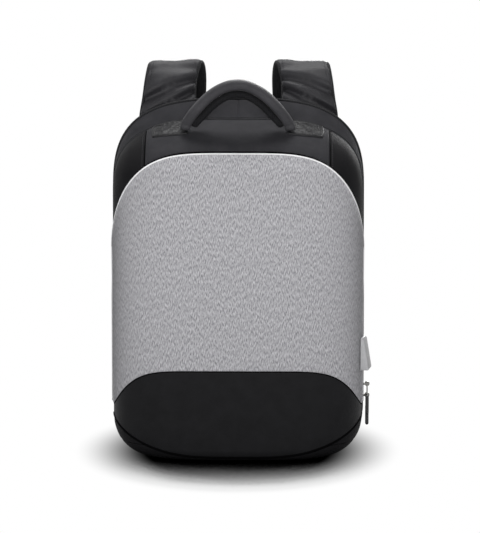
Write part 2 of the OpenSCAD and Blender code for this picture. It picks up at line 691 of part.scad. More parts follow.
strap_end = strap_path[len(strap_path) - 1];
adjuster_h = 24;
adjuster_w = webbing_w + 12;
adjuster_t = 5;
adjuster_bar = 5.6;
adjuster_in = 2;
adjuster_drop = 2.1;
adjuster_at = strap_end - [0, adjuster_in, adjuster_h + adjuster_drop];
adjuster_slot = (adjuster_h - 3 * adjuster_bar) / 2;
module adjuster() {
    slot_w = webbing_w + 2;
    color(fabric_colour) translate(adjuster_at) difference() {
        block([-adjuster_w / 2, -adjuster_t / 2, 0], [adjuster_w / 2, adjuster_t / 2, adjuster_h]);
        for (i = [0, 1])
            translate([0, 0, adjuster_bar + i * (adjuster_slot + adjuster_bar)])
                block([-slot_w / 2, -adjuster_t, 0], [slot_w / 2, adjuster_t, adjuster_slot]);
    }
}
module right_adjuster() adjuster();
module left_adjuster() left_of() adjuster();

tail_l = 70;
module webbing_tail() {
    y = adjuster_at.y + adjuster_t / 2 + play;
    z = adjuster_at.z + adjuster_h - adjuster_in;
    x = adjuster_at.x;
    color(fabric_colour) block([x - webbing_w / 2, y, z - tail_l], [x + webbing_w / 2, y + webbing_t, z]);
}
module right_webbing_tail() webbing_tail();
module left_webbing_tail() left_of() webbing_tail();

// Lower webbing: from the adjuster down to the anchor tab at the foot of the back panel
tab_z = 30;
tab_h = 34;
tab_t = 3;
tab_y = back_y + seat;
module anchor_tab() {
    color(fabric_colour) prism_y([[tab_x - tab_foot, tab_z], [tab_x + tab_side, tab_z],
        [tab_x + tab_side, tab_z + tab_step], [tab_x + tab_flare, tab_z + tab_h],
        [tab_x - tab_flare, tab_z + tab_h]], tab_y, tab_y + tab_t);
}
module right_anchor_tab() anchor_tab();
module left_anchor_tab() left_of() anchor_tab();

webbing_drop = 1.8;
webbing_seat = play + seat;
webbing_from = adjuster_at - [0, 0, webbing_drop];
webbing_to = [tab_x, tab_y + tab_t + webbing_seat + webbing_t / 2, tab_z + 12];
webbing_bend = [tab_x, webbing_to.y, tab_z + tab_h - 2];
webbing_steps = 6;
webbing_free = 0.8;
webbing_belly = 6;
function webbing_point(s) =
    let (p = webbing_from + (webbing_to - webbing_from) * s)
    p + [0, webbing_belly * sin(180 * s) * (1 - s), 0];
module webbing() {
    free = [for (i = [0:webbing_steps - 1]) webbing_point(webbing_free * i / webbing_steps)];
    path = concat(free, [webbing_bend, webbing_to]);
    color(fabric_colour) ring_solid([for (i = [0:len(path) - 1])
        let (way = path_way(path, i))
        slab_ring(path[i], way, square_side([-1, 0, 0], way), webbing_w, webbing_t, 8, 0.3)]);
}
module right_webbing() webbing();
module left_webbing() left_of() webbing();

module strap_yoke() {
    half = strap_x + strap_w / 2;
    slant = strap_w * 2 / 3;
    corner = [[half, root_z - yoke_down], [half, root_z], [half - slant, root_z + yoke_up]];
    y = back_y + seat;
    color(fabric_colour) prism_y(concat(corner, backwards(mirror_x(corner))), y, y + yoke_t);
}

// Fabric hinge along the rear bottom edge, between the base panel and the back half
hinge_half = 72;
hinge_in = 1.1;
hinge_t = 1.2;
hinge_drop = 5;
hinge_up = 1.5;
hinge_y = zip_y + base_back - fabric_t - hinge_in;
module hinge_strip() {
    low = [-hinge_half, hinge_y - hinge_t, base_h - hinge_drop];
    color(lower_colour) block(low, [hinge_half, hinge_y, base_h + hinge_up]);
}

// Zip sliders and their pulls on the right side, each pull in its own lane
plate_t = 1.6;
plate_gap = 0.3;
plate_half = 5;
pivot_out = 6.6;
pivot_x = half_w + pivot_out;
pin_r = 0.9;
post_t = 0.8;
lane_w = 5;
eye_in = pin_r + layer_gap;
eye_out = 3;
link_t = 1.5;
link_w = lane_w - 2 * post_t - 2 * play;
post_half = 1.3;
post_up = 4;
function pull_pivot(z) = z - slider_l / 2 + post_up;
upper_z = slider_z + slider_step;
module slider(z, lane) {
    out = half_w + plate_gap;
    under = half_w + front_tape_out - tape_t - layer_gap;
    neck = teeth_near - play;
    low = z - slider_l / 2;
    high = z + slider_l / 2;
    post_z = pull_pivot(z);
    color(metal_colour) {
        for (x = [out, under - plate_t])
            block([x, zip_y - plate_half, low], [x + plate_t, zip_y + plate_half, high]);
        block([under, zip_y - neck, z], [out, zip_y + neck, high]);
        for (y = [seat, lane_w - post_t])
            translate([0, zip_y + lane * (y + post_t / 2), 0])
                block([out + plate_t, -post_t / 2, post_z - post_half],
                    [pivot_x + post_half, post_t / 2, post_z + post_half]);
        translate([pivot_x, zip_y + lane * lane_w / 2 + lane_w / 2, post_z]) rotate([90, 0, 0])
            cylinder(r = pin_r, h = lane_w - seat);
    }
}
module upper_slider() slider(upper_z, -1);
module lower_slider() slider(slider_z, 1);

link_l = 14;
module pull_link(z, lane) {
    far = zip_y + (lane * (lane_w + seat) + link_w) / 2;
    color(metal_colour) translate([pivot_x, far, pull_pivot(z)]) rotate([90, 0, 0]) difference() {
        union() {
            cylinder(r = eye_out, h = link_w);
            translate([-link_t / 2, -link_l, 0]) cube([link_t, link_l, link_w]);
        }
        translate([0, 0, -1]) cylinder(r = eye_in, h = link_w + 2);
    }
}
module upper_pull_link() pull_link(upper_z, -1);
module lower_pull_link() pull_link(slider_z, 1);

grip_half = 2.1;
grip_in = 0.8;
pull_w = 7;
module pull_grip(z, lane) {
    y0 = lane < 0 ? zip_y - grip_in - pull_w : zip_y + grip_in;
    top = pull_pivot(z) - link_l - seat / 2;
    tip = pull_pivot(z) - pull_l + grip_half;
    color(lower_colour) {
        block([pivot_x - grip_half, y0, tip], [pivot_x + grip_half, y0 + pull_w, top]);
        translate([pivot_x, y0 + pull_w, tip]) rotate([90, 0, 0]) cylinder(r = grip_half, h = pull_w);
    }
}
module upper_pull_grip() pull_grip(upper_z, -1);
module lower_pull_grip() pull_grip(slider_z, 1);

base_panel();
base_board();
moulded_shell();
front_panel();
lower_front_panel();
top_yoke();
left_side_panel();
right_side_panel();
front_zip_tape();
front_zip_teeth();
zip_end_stops();
left_handle_patch();
right_handle_patch();
usb_housing();
usb_socket_shell();
usb_socket_tongue();
organiser_pocket();
power_bank_pocket();
hinge_strip();
rim_gusset();
back_zip_tape();
back_zip_teeth();
back_panel();
frame_sheet();
left_back_pad();
right_back_pad();
lumbar_pad();
laptop_sleeve();
sleeve_strap();
trolley_strap();
strap_yoke();
left_anchor_tab();
right_anchor_tab();
left_webbing();
right_webbing();
left_strap();
right_strap();
left_adjuster();
right_adjuster();
left_webbing_tail();
right_webbing_tail();
handle_grip();
handle_underside();
upper_slider();
lower_slider();
upper_pull_link();
upper_pull_grip();
lower_pull_link();
lower_pull_grip();
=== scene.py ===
import bpy
import bmesh
import math
import numpy as np
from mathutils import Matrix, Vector, noise


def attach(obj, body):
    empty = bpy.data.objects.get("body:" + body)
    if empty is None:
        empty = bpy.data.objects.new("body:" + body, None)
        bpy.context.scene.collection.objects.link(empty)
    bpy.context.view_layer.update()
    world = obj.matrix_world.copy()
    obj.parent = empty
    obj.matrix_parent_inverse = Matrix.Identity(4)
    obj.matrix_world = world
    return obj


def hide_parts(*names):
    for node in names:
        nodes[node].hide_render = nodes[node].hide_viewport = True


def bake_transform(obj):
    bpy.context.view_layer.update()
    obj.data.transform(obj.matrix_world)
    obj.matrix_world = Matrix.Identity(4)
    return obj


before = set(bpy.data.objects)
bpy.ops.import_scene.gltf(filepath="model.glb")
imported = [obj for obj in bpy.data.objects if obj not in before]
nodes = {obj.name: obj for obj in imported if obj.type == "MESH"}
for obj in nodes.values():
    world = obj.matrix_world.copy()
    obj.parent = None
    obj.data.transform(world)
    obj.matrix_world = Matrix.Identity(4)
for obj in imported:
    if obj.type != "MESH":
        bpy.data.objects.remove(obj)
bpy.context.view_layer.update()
mm = 0.001
print("frame loaded:", len(nodes), "nodes")

# camera, light and floor

shot = {"turn": 0.72, "tilt": 9.66, "far": 5.0, "pixelsPerMetre": 832.0, "wide": 480, "high": 533,
        "originPixel": (237.8, 274.4), "aim": (0, 0, 0.215), "sensor": 36.0, "seeTo": 60}


def newObject(name, data):
    made = bpy.data.objects.new(name, data)
    bpy.context.scene.collection.objects.link(made)
    return made


def placeCamera():
    turn, tilt = math.radians(shot["turn"]), math.radians(shot["tilt"])
    back = Vector((math.sin(turn) * math.cos(tilt), -math.cos(turn) * math.cos(tilt), math.sin(tilt)))
    right = Vector((math.cos(turn), math.sin(turn), 0))
    up = right.cross(-back)
    scale = shot["pixelsPerMetre"]
    aim = Vector(shot["aim"]) + right * ((shot["wide"] / 2 - shot["originPixel"][0]) / scale)
    aim += up * ((shot["originPixel"][1] - shot["high"] / 2) / scale)
    data = bpy.data.cameras.new("photoCamera")
    data.sensor_width = shot["sensor"]
    data.lens = shot["sensor"] * shot["far"] * scale / shot["high"]
    data.clip_end = shot["seeTo"]
    camera = newObject("photoCamera", data)
    camera.location = aim + back * shot["far"]
    camera.rotation_mode = "QUATERNION"
    camera.rotation_quaternion = (-back).to_track_quat("-Z", "Y")
    bpy.context.scene.camera = camera


# place, aim, size and watts of each soft box
lamps = {"topBox": ((0.0, 0.56, 1.9), (0, -0.05, 0.2), 0.7, 22),
         "frontBox": ((-0.04, -1.33, 0.66), (0, 0, 0.24), 0.6, 14.6),
         "backBox": ((0.5, 2.6, 0.9), (0, 0, 0.22), 1.2, 48),
         "edgeLeft": ((-1.8, 0.5, 0.6), (0, 0, 0.26), 0.8, 2),
         "edgeRight": ((1.8, 0.5, 0.6), (0, 0, 0.26), 0.8, 2.4)}
ambient = 0.05


def placeLamps():
    for name, (place, aim, size, watts) in lamps.items():
        data = bpy.data.lights.new(name, "AREA")
        data.shape = "SQUARE"
        data.size = size
        data.energy = watts
        lamp = newObject(name, data)
        lamp.location = place
        lamp.rotation_mode = "QUATERNION"
        lamp.rotation_quaternion = (Vector(aim) - Vector(place)).to_track_quat("-Z", "Y")


def put(tree, kind, props=None, values=None, links=None):
    made = tree.nodes.new(kind)
    for key, value in (props or {}).items():
        setattr(made, key, value)
    for key, value in (values or {}).items():
        made.inputs[key].default_value = value
    for key, (source, output) in (links or {}).items():
        tree.links.new(source.outputs[output], made.inputs[key])
    return made


def combine(tree, how, first, second):
    return put(tree, "ShaderNodeMath", {"operation": how}, links={0: first, 1: second})


def emptyTree(holder):
    holder.use_nodes = True
    holder.node_tree.nodes.clear()
    return holder.node_tree


def splitBySight(tree, unseen, seen, output):
    # camera, glossy and transmission rays meet one shader, and light meets the other
    path = put(tree, "ShaderNodeLightPath")
    both = combine(tree, "MAXIMUM", (path, "Is Camera Ray"), (path, "Is Glossy Ray"))
    sight = combine(tree, "MAXIMUM", (both, 0), (path, "Is Transmission Ray"))
    mix = put(tree, "ShaderNodeMixShader", links={0: (sight, 0), 1: (unseen, 0), 2: (seen, 0)})
    put(tree, output, links={"Surface": (mix, 0)})


def setWorld():
    world = bpy.data.worlds.new("studio")
    bpy.context.scene.world = world
    tree = emptyTree(world)
    soft, white = (put(tree, "ShaderNodeBackground", values={"Color": (1, 1, 1, 1), "Strength": level})
                   for level in (ambient, 1.0))
    splitBySight(tree, soft, white, "ShaderNodeOutputWorld")


def pattern(tree, source, scale, turn=0.0):
    place = put(tree, "ShaderNodeTexCoord")
    return put(tree, "ShaderNodeMapping", values={"Scale": scale, "Rotation": (0, 0, turn)},
               links={"Vector": (place, source)})


# the floor glows white to the eye, with a painted shadow: ambient occlusion from what stands near darkens
# that glow inside an ellipse under the bag
floorShadowLook = {"half": 9.0, "paint": 0.45, "reach": 0.25, "samples": 16, "darkAt": 0.56, "whiteAt": 0.89,
             "depth": 3.4, "stretch": (5.6, 4.4, 1.0), "fadeFrom": 0.62, "fadeTo": 1.12}


def layFloor():
    g = floorShadowLook
    mat = bpy.data.materials.new("paleFloor")
    tree = emptyTree(mat)
    # painted contact shadow: occlusion near the bag, deepened by a power, scales the floor's white emission
    near = put(tree, "ShaderNodeAmbientOcclusion", {"samples": g["samples"]}, {"Distance": g["reach"]})
    clear = put(tree, "ShaderNodeMapRange", values={"From Min": g["darkAt"], "From Max": g["whiteAt"]},
                links={"Value": (near, "AO")})
    shade = put(tree, "ShaderNodeMath", {"operation": "POWER"}, {1: g["depth"]}, {0: (clear, 0)})
    away = put(tree, "ShaderNodeVectorMath", {"operation": "LENGTH"},
               links={0: (pattern(tree, "Object", g["stretch"]), 0)})
    fade = put(tree, "ShaderNodeMapRange", {"interpolation_type": "SMOOTHSTEP"},
               {"From Min": g["fadeFrom"], "From Max": g["fadeTo"]}, {"Value": (away, "Value")})
    light = combine(tree, "MAXIMUM", (shade, 0), (fade, 0))
    matte = put(tree, "ShaderNodeBsdfDiffuse", values={"Color": (g["paint"],) * 3 + (1,)})
    white = put(tree, "ShaderNodeEmission", values={"Color": (1, 1, 1, 1)}, links={"Strength": (light, 0)})
    splitBySight(tree, matte, white, "ShaderNodeOutputMaterial")
    h = g["half"]
    mesh = bpy.data.meshes.new("floor")
    mesh.from_pydata([(-h, -h, 0), (h, -h, 0), (h, h, 0), (-h, h, 0)], [], [(0, 1, 2, 3)])
    mesh.materials.append(mat)
    newObject("floor", mesh)


placeCamera()
placeLamps()
setWorld()
layFloor()
bpy.context.scene.view_settings.view_transform = "Standard"
print("studio ready")

# finishes


def newFinish(name, color, rough, **sockets):
    mat = bpy.data.materials.new(name)
    mat.use_nodes = True
    tree = mat.node_tree
    shader = tree.nodes["Principled BSDF"]
    shader.inputs["Base Color"].default_value = (*color, 1)
    shader.inputs["Roughness"].default_value = rough
    for key, value in sockets.items():
        shader.inputs[key].default_value = value
    return mat, tree, shader


def twoTone(tree, shader, factor, dark, light, low, high):
    ramp = put(tree, "ShaderNodeValToRGB", links={"Fac": factor})
    ramp.color_ramp.elements[0].position = low
    ramp.color_ramp.elements[0].color = (*dark, 1)
    ramp.color_ramp.elements[1].position = high
    ramp.color_ramp.elements[1].color = (*light, 1)
    tree.links.new(ramp.outputs["Color"], shader.inputs["Base Color"])


def bumpUp(tree, shader, height, strength, depth, under=None):
    bump = put(tree, "ShaderNodeBump", values={"Strength": strength, "Distance": depth},
               links={"Height": height})
    if under:
        tree.links.new(under.outputs["Normal"], bump.inputs["Normal"])
    tree.links.new(bump.outputs["Normal"], shader.inputs["Normal"])
    return bump


def bands(tree, way, grid):
    return put(tree, "ShaderNodeTexWave", {"wave_type": "BANDS", "bands_direction": way}, {"Scale": 1.0},
               {"Vector": (grid, 0)})


def threads(tree, source, pitch):
    # two crossing rows of threads, pitch in metres
    wavesPerUnit = 0.314
    grid = pattern(tree, source, (wavesPerUnit / pitch,) * 3)
    return combine(tree, "MULTIPLY", *((bands(tree, way, grid), "Fac") for way in ("X", "Y")))


def cellular(tree, feature, random, cell):
    return put(tree, "ShaderNodeTexVoronoi", {"feature": feature}, {"Scale": 1.0, "Randomness": random},
               {"Vector": (pattern(tree, "Object", (1 / cell,) * 3), 0)})


def speckle(tree, source, scale, detail, rough=0.5, turn=0.0):
    return put(tree, "ShaderNodeTexNoise", values={"Scale": 1.0, "Detail": detail, "Roughness": rough},
               links={"Vector": (pattern(tree, source, scale, turn), 0)})


heather = {"dark": (0.20, 0.198, 0.213), "light": (0.62, 0.615, 0.64), "streak": (1200, 220, 1),
           "streakTurn": 0.6, "fibre": (2600, 400, 1), "fibreTurn": 0.9, "fibreShare": 0.25, "thread": 0.0007}


def heatherFinish():
    mat, tree, shader = newFinish("heatherCloth", (0.4, 0.4, 0.42), 0.85,
                                  **{"Sheen Weight": 0.05, "Sheen Roughness": 0.5, "Specular IOR Level": 0.1})
    streak = speckle(tree, "UV", heather["streak"], 1.5, turn=heather["streakTurn"])
    fibre = speckle(tree, "UV", heather["fibre"], 2.0, turn=heather["fibreTurn"])
    both = put(tree, "ShaderNodeMix", values={"Factor": heather["fibreShare"]},
               links={"A": (streak, "Fac"), "B": (fibre, "Fac")})
    twoTone(tree, shader, (both, 0), heather["dark"], heather["light"], 0.36, 0.64)
    weave = bumpUp(tree, shader, (threads(tree, "UV", heather["thread"]), 0), 0.35, 0.0002)
    bumpUp(tree, shader, (fibre, "Fac"), 0.25, 0.0003, weave)
    return mat


def clothFinish(name, dark, light, rough, thread, sheen=0.03, source="UV", bump=0.4, gloss=0.1):
    mat, tree, shader = newFinish(name, light, rough, **{"Sheen Weight": sheen, "Sheen Roughness": 0.45,
                                                         "Specular IOR Level": gloss})
    cloud = speckle(tree, "Object", (55,) * 3, 4.0, 0.6)
    twoTone(tree, shader, (cloud, "Fac"), dark, light, 0.3, 0.7)
    grain = speckle(tree, "Object", (900,) * 3, 2.0)
    first = bumpUp(tree, shader, (threads(tree, source, thread), 0), bump, 0.00018)
    bumpUp(tree, shader, (grain, "Fac"), 0.12, 0.0002, first)
    return mat


def netFinish(name, dark, light, cell):
    # knitted spacer net: small holes between raised threads, painted darker than the threads as painted shade
    # in the holes
    mat, tree, shader = newFinish(name, light, 0.8, **{"Sheen Weight": 0.02, "Sheen Roughness": 0.5,
                                                       "Specular IOR Level": 0.08})
    cells = cellular(tree, "F1", 0.25, cell)
    twoTone(tree, shader, (cells, "Distance"), dark, light, 0.18, 0.42)
    bumpUp(tree, shader, (cells, "Distance"), 0.6, 0.0006)
    return mat


def grainFinish(name, dark, light, rough, cell):
    mat, tree, shader = newFinish(name, light, rough, **{"Specular IOR Level": 0.12})
    cells = cellular(tree, "DISTANCE_TO_EDGE", 0.9, cell)
    cloud = speckle(tree, "Object", (160,) * 3, 3.0)
    both = put(tree, "ShaderNodeMix", values={"Factor": 0.5},
               links={"A": (cells, "Distance"), "B": (cloud, "Fac")})
    twoTone(tree, shader, (both, 0), dark, light, 0.2, 0.6)
    bumpUp(tree, shader, (cells, "Distance"), 0.5, 0.0005)
    return mat


def webbingFinish(name, dark, light):
    mat, tree, shader = newFinish(name, light, 0.65, **{"Sheen Weight": 0.03, "Specular IOR Level": 0.12})
    ribs = bands(tree, "Y", pattern(tree, "UV", (150,) * 3))
    # the rib valleys are painted darker than the crests: painted shade between the ribs
    twoTone(tree, shader, (ribs, "Fac"), dark, light, 0.1, 0.9)
    first = bumpUp(tree, shader, (ribs, "Fac"), 0.6, 0.0005)
    bumpUp(tree, shader, (threads(tree, "UV", 0.0008), 0), 0.3, 0.0002, first)
    return mat


def hardFinish(name, dark, light, rough, metal=0.0, spot=220, bump=0.05):
    mat, tree, shader = newFinish(name, light, rough, Metallic=metal)
    cloud = speckle(tree, "Object", (spot,) * 3, 4.0, 0.6)
    twoTone(tree, shader, (cloud, "Fac"), dark, light, 0.3, 0.7)
    span = put(tree, "ShaderNodeMapRange", values={"To Min": max(0.05, rough - 0.08), "To Max": rough + 0.1},
               links={"Value": (cloud, "Fac")})
    tree.links.new(span.outputs[0], shader.inputs["Roughness"])
    fine = speckle(tree, "Object", (1500,) * 3, 2.0)
    bumpUp(tree, shader, (fine, "Fac"), bump, 0.0002)
    return mat


# a cloth has dark and light tones, roughness, thread pitch in metres and sheen
finish = {
    "heather": heatherFinish(),
    "nylon": clothFinish("blackNylon", (0.025, 0.0248, 0.028), (0.035, 0.0345, 0.0385),
                         0.65, 0.0006, 0.01, gloss=0.06),
    # darker copy of the black nylon for the side panels and base: painted shade for the sides turned away
    # from the lamps
    "sides": clothFinish("shadedSideNylon", (0.0080, 0.0078, 0.0086), (0.0110, 0.0108, 0.0118),
                         0.65, 0.0006, 0, gloss=0.04),
    "strap": clothFinish("strapCloth", (0.016, 0.0156, 0.018), (0.024, 0.0235, 0.0268),
                         0.5, 0.0006, 0.05, gloss=0.22),
    # near-white colour for the bead on the grey panel's top edge: a real edge bead, painted bright as a
    # highlight where the edge catches the top light
    "rim": clothFinish("panelRimHighlight", (0.80, 0.80, 0.81), (0.88, 0.88, 0.89),
                       0.5, 0.0006, 0.05, "Object", 0.2, 0.3),
    "grip": clothFinish("gripCloth", (0.038, 0.0375, 0.041), (0.052, 0.051, 0.056),
                        0.55, 0.0005, 0.03, gloss=0.12),
    "cordCloth": clothFinish("boundNylon", (0.024, 0.024, 0.027), (0.034, 0.034, 0.037),
                             0.6, 0.0007, 0.03, "Object"),
    "lower": clothFinish("lowerNylon", (0.0098, 0.0098, 0.0106), (0.0130, 0.0130, 0.0142),
                         0.6, 0.0006, 0.02, gloss=0.06),
    "net": netFinish("spacerNet", (0.0025, 0.0025, 0.0028), (0.012, 0.012, 0.0132), 0.0026),
    # lighter copy of the spacer net for the back panel and pads: painted light, since little lamp light
    # reaches the back
    "litPadNet": netFinish("litPadNet", (0.008, 0.008, 0.009), (0.034, 0.034, 0.037), 0.0026),
    "webbing": webbingFinish("ribbedWebbing", (0.010, 0.010, 0.011), (0.026, 0.026, 0.028)),
    "tape": clothFinish("zipTape", (0.009, 0.009, 0.010), (0.013, 0.013, 0.014), 0.7, 0.0008),
    "lining": clothFinish("greyLining", (0.065, 0.065, 0.072), (0.085, 0.085, 0.093), 0.5, 0.0008, 0.05),
    "foam": clothFinish("formedLining", (0.045, 0.045, 0.049), (0.060, 0.060, 0.065), 0.7, 0.0009),
    "patch": grainFinish("patchLeather", (0.006, 0.006, 0.0066), (0.024, 0.024, 0.026), 0.45, 0.0018),
    "thread": clothFinish("sewingThread", (0.022, 0.022, 0.024), (0.036, 0.036, 0.039),
                          0.55, 0.0004, 0.05, "Object"),
    # near-black tubes laid along the seams: painted shade in the seam grooves
    "groove": clothFinish("seamShade", (0.0018, 0.0018, 0.002), (0.0026, 0.0026, 0.0028),
                          0.9, 0.0008, 0, "Object", gloss=0.02),
    "coil": hardFinish("zipCoil", (0.012, 0.012, 0.013), (0.018, 0.018, 0.020), 0.4),
    "nickel": hardFinish("darkNickel", (0.15, 0.147, 0.14), (0.26, 0.255, 0.245), 0.28, 1.0, 300, 0.03),
    "rubber": hardFinish("pullRubber", (0.010, 0.010, 0.011), (0.016, 0.016, 0.017), 0.55, 0, 260, 0.15),
    "usb": hardFinish("portPlastic", (0.36, 0.36, 0.37), (0.44, 0.44, 0.45), 0.45, 0, 140, 0.08),
    "steel": hardFinish("socketSteel", (0.50, 0.50, 0.52), (0.62, 0.62, 0.64), 0.3, 1.0, 400, 0.05),
    "white": hardFinish("socketTongue", (0.70, 0.70, 0.69), (0.78, 0.78, 0.77), 0.45),
    "buckle": hardFinish("buckleAcetal", (0.014, 0.014, 0.015), (0.021, 0.021, 0.023), 0.42, 0, 180, 0.1),
    "board": hardFinish("stiffSheet", (0.012, 0.012, 0.013), (0.019, 0.019, 0.020), 0.6, 0, 60, 0.15),
}
print("finishes ready:", len(finish))

# mesh helpers: all shapes are worked out in millimetres


def unit(v):
    return v / np.linalg.norm(v, axis=-1, keepdims=True)


def signed(v, power):
    return np.sign(v) * np.abs(v) ** power


def pointsAt(x, y, z):
    return np.stack(np.broadcast_arrays(x, y, z), -1)


def runLength(points):
    return np.concatenate([[0], np.cumsum(np.linalg.norm(np.diff(points, axis=0), axis=1))])


def evaluated(made):
    return made.evaluated_get(bpy.context.evaluated_depsgraph_get())


def dress(mesh, mat, sharp):
    mesh.polygons.foreach_set("use_smooth", [True] * len(mesh.polygons))
    mesh.set_sharp_from_angle(angle=math.radians(sharp))
    mesh.materials.append(mat)


def addMesh(name, points, faces, mat, uv, sharp=40, weld=True):
    mesh = bpy.data.meshes.new(name)
    mesh.from_pydata((np.asarray(points, float) * mm).tolist(), [], faces)
    layer = mesh.uv_layers.new(name="cloth")
    order = np.zeros(len(mesh.loops), int)
    mesh.loops.foreach_get("vertex_index", order)
    layer.data.foreach_set("uv", (np.asarray(uv, float) * mm)[order].ravel())
    work = bmesh.new()
    work.from_mesh(mesh)
    if weld:
        bmesh.ops.remove_doubles(work, verts=work.verts, dist=1e-6)
    bmesh.ops.recalc_face_normals(work, faces=work.faces)
    work.to_mesh(mesh)
    work.free()
    dress(mesh, mat, sharp)
    return newObject(name, mesh)


def gridFaces(rows, cols, start=0, flip=False, closed=False):
    faces = []
    for i in range(rows - 1):
        for j in range(cols if closed else cols - 1):
            a, b = start + i * cols + j, start + i * cols + (j + 1) % cols
            quad = (a, b, b + cols, a + cols)
            faces.append(quad[::-1] if flip else quad)
    return faces


def gridLoop(rows, cols):
    top, right = list(range(cols)), [i * cols + cols - 1 for i in range(1, rows)]
    foot = [(rows - 1) * cols + j for j in range(cols - 2, -1, -1)]
    return top + right + foot + [i * cols for i in range(rows - 2, 0, -1)]


def edgeWays(grid):
    down = np.linalg.norm(np.diff(grid, axis=0), axis=2)
    over = np.linalg.norm(np.diff(grid, axis=1), axis=2)
    down = np.vstack([np.zeros((1, grid.shape[1])), np.cumsum(down, 0)])
    over = np.hstack([np.zeros((grid.shape[0], 1)), np.cumsum(over, 1)])
    return down, down[-1:] - down, over, over[:, -1:] - over


def clothUv(grid):
    down, _, over, _ = edgeWays(grid)
    middle = grid.shape[1] // 2
    return np.stack([over - over[:, middle:middle + 1], down], -1).reshape(-1, 2)


def addSheet(name, outer, inner, mat, sharp=40):
    rows, cols = outer.shape[:2]
    points = np.vstack([outer.reshape(-1, 3), inner.reshape(-1, 3)])
    loop, shift = gridLoop(rows, cols), rows * cols
    faces = gridFaces(rows, cols) + gridFaces(rows, cols, shift, True)
    faces += [(b, a, a + shift, b + shift) for a, b in zip(loop, loop[1:] + loop[:1])]
    uv = clothUv(outer)
    return addMesh(name, points, faces, mat, np.vstack([uv, uv]), sharp)


def ringSolid(name, rings, mat, uv, sharp=40, weld=True):
    count, around = rings.shape[:2]
    faces = gridFaces(count, around, closed=True)
    faces += [tuple(range(around)), tuple(range((count - 1) * around, count * around))]
    return addMesh(name, rings.reshape(-1, 3), faces, mat, uv, sharp, weld)


def keep(made, body, replaced):
    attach(made, body)
    if replaced:
        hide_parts(*replaced)


def sew(name, outer, inner, mat, body, replaced, slot, sharp=60):
    made = addSheet(name, outer, inner, mat, sharp)
    keep(made, body, replaced)
    return made


def rolled(way, radius):
    return np.sqrt(1 - (1 - np.clip(way / radius, 0, 1)) ** 2)


marking = {"ends": (0.5, 1.2, 2.1, 3.2, 4.8, 7.2), "closest": 0.35}


def spread(length, step):
    # shares along a length, at even steps and closer near both ends
    ends = np.array(marking["ends"])
    marks = np.linspace(0, length, max(2, int(round(length / step)) + 1))
    marks = np.unique(np.clip(np.concatenate([marks, ends, length - ends]), 0, length))
    kept = [marks[0]]
    for mark in marks[1:]:
        if mark - kept[-1] > marking["closest"]:
            kept.append(mark)
    kept[-1] = length
    return np.array(kept) / length


def crumple(points, size, seed):
    flat = np.asarray(points, float).reshape(-1, 3) / size
    away = Vector((seed * 7.3, seed * 3.1, seed * 5.7))
    return np.array([noise.noise(Vector(p) + away) for p in flat]).reshape(np.shape(points)[:-1])


def smoothPath(points, count):
    # even points along a smooth curve through the given ones
    points = np.asarray(points, float)
    padded = np.vstack([2 * points[0] - points[1], points, 2 * points[-1] - points[-2]])
    fine = []
    for i in range(len(points) - 1):
        p0, p1, p2, p3 = padded[i:i + 4]
        for t in np.linspace(0, 1, 24, endpoint=False):
            fine.append(0.5 * (2 * p1 + (p2 - p0) * t + (2 * p0 - 5 * p1 + 4 * p2 - p3) * t * t
                               + (3 * p1 - p0 - 3 * p2 + p3) * t ** 3))
    fine.append(points[-1])
    fine = np.array(fine)
    way = runLength(fine[:, :3])
    marks = np.linspace(0, way[-1], count)
    return np.stack([np.interp(marks, way, fine[:, k]) for k in range(fine.shape[1])], 1), way[-1]


def cord(name, path, radius, mat, sides, body, closed=False):
    path = np.asarray(path, float)
    if closed:
        ways = np.roll(path, -1, 0) - np.roll(path, 1, 0)
    else:
        ways = np.gradient(path, axis=0)
    ways = unit(ways)
    side, rings = np.cross(ways[0], [0.3, 0.9, 0.31]), []
    turn = np.linspace(0, 2 * math.pi, sides, endpoint=False)[:, None]
    for p, way in zip(path, ways):
        side = unit(side - way * (side @ way))
        rings.append(p + radius * (np.cos(turn) * side + np.sin(turn) * np.cross(way, side)))
    rings = np.array(rings)
    u = np.tile(np.linspace(0, 2 * math.pi * radius, sides), (len(path), 1))
    uv = np.stack([u, np.tile(runLength(path)[:, None], (1, sides))], -1).reshape(-1, 2)
    if closed:
        last = (len(path) - 1) * sides
        faces = gridFaces(len(path), sides, closed=True)
        faces += [(last + j, last + (j + 1) % sides, (j + 1) % sides, j) for j in range(sides)]
        made = addMesh(name, rings.reshape(-1, 3), faces, mat, uv)
    else:
        made = ringSolid(name, rings, mat, uv)
    keep(made, body, ())


# geometry nodes: one small shape set along a run of paths


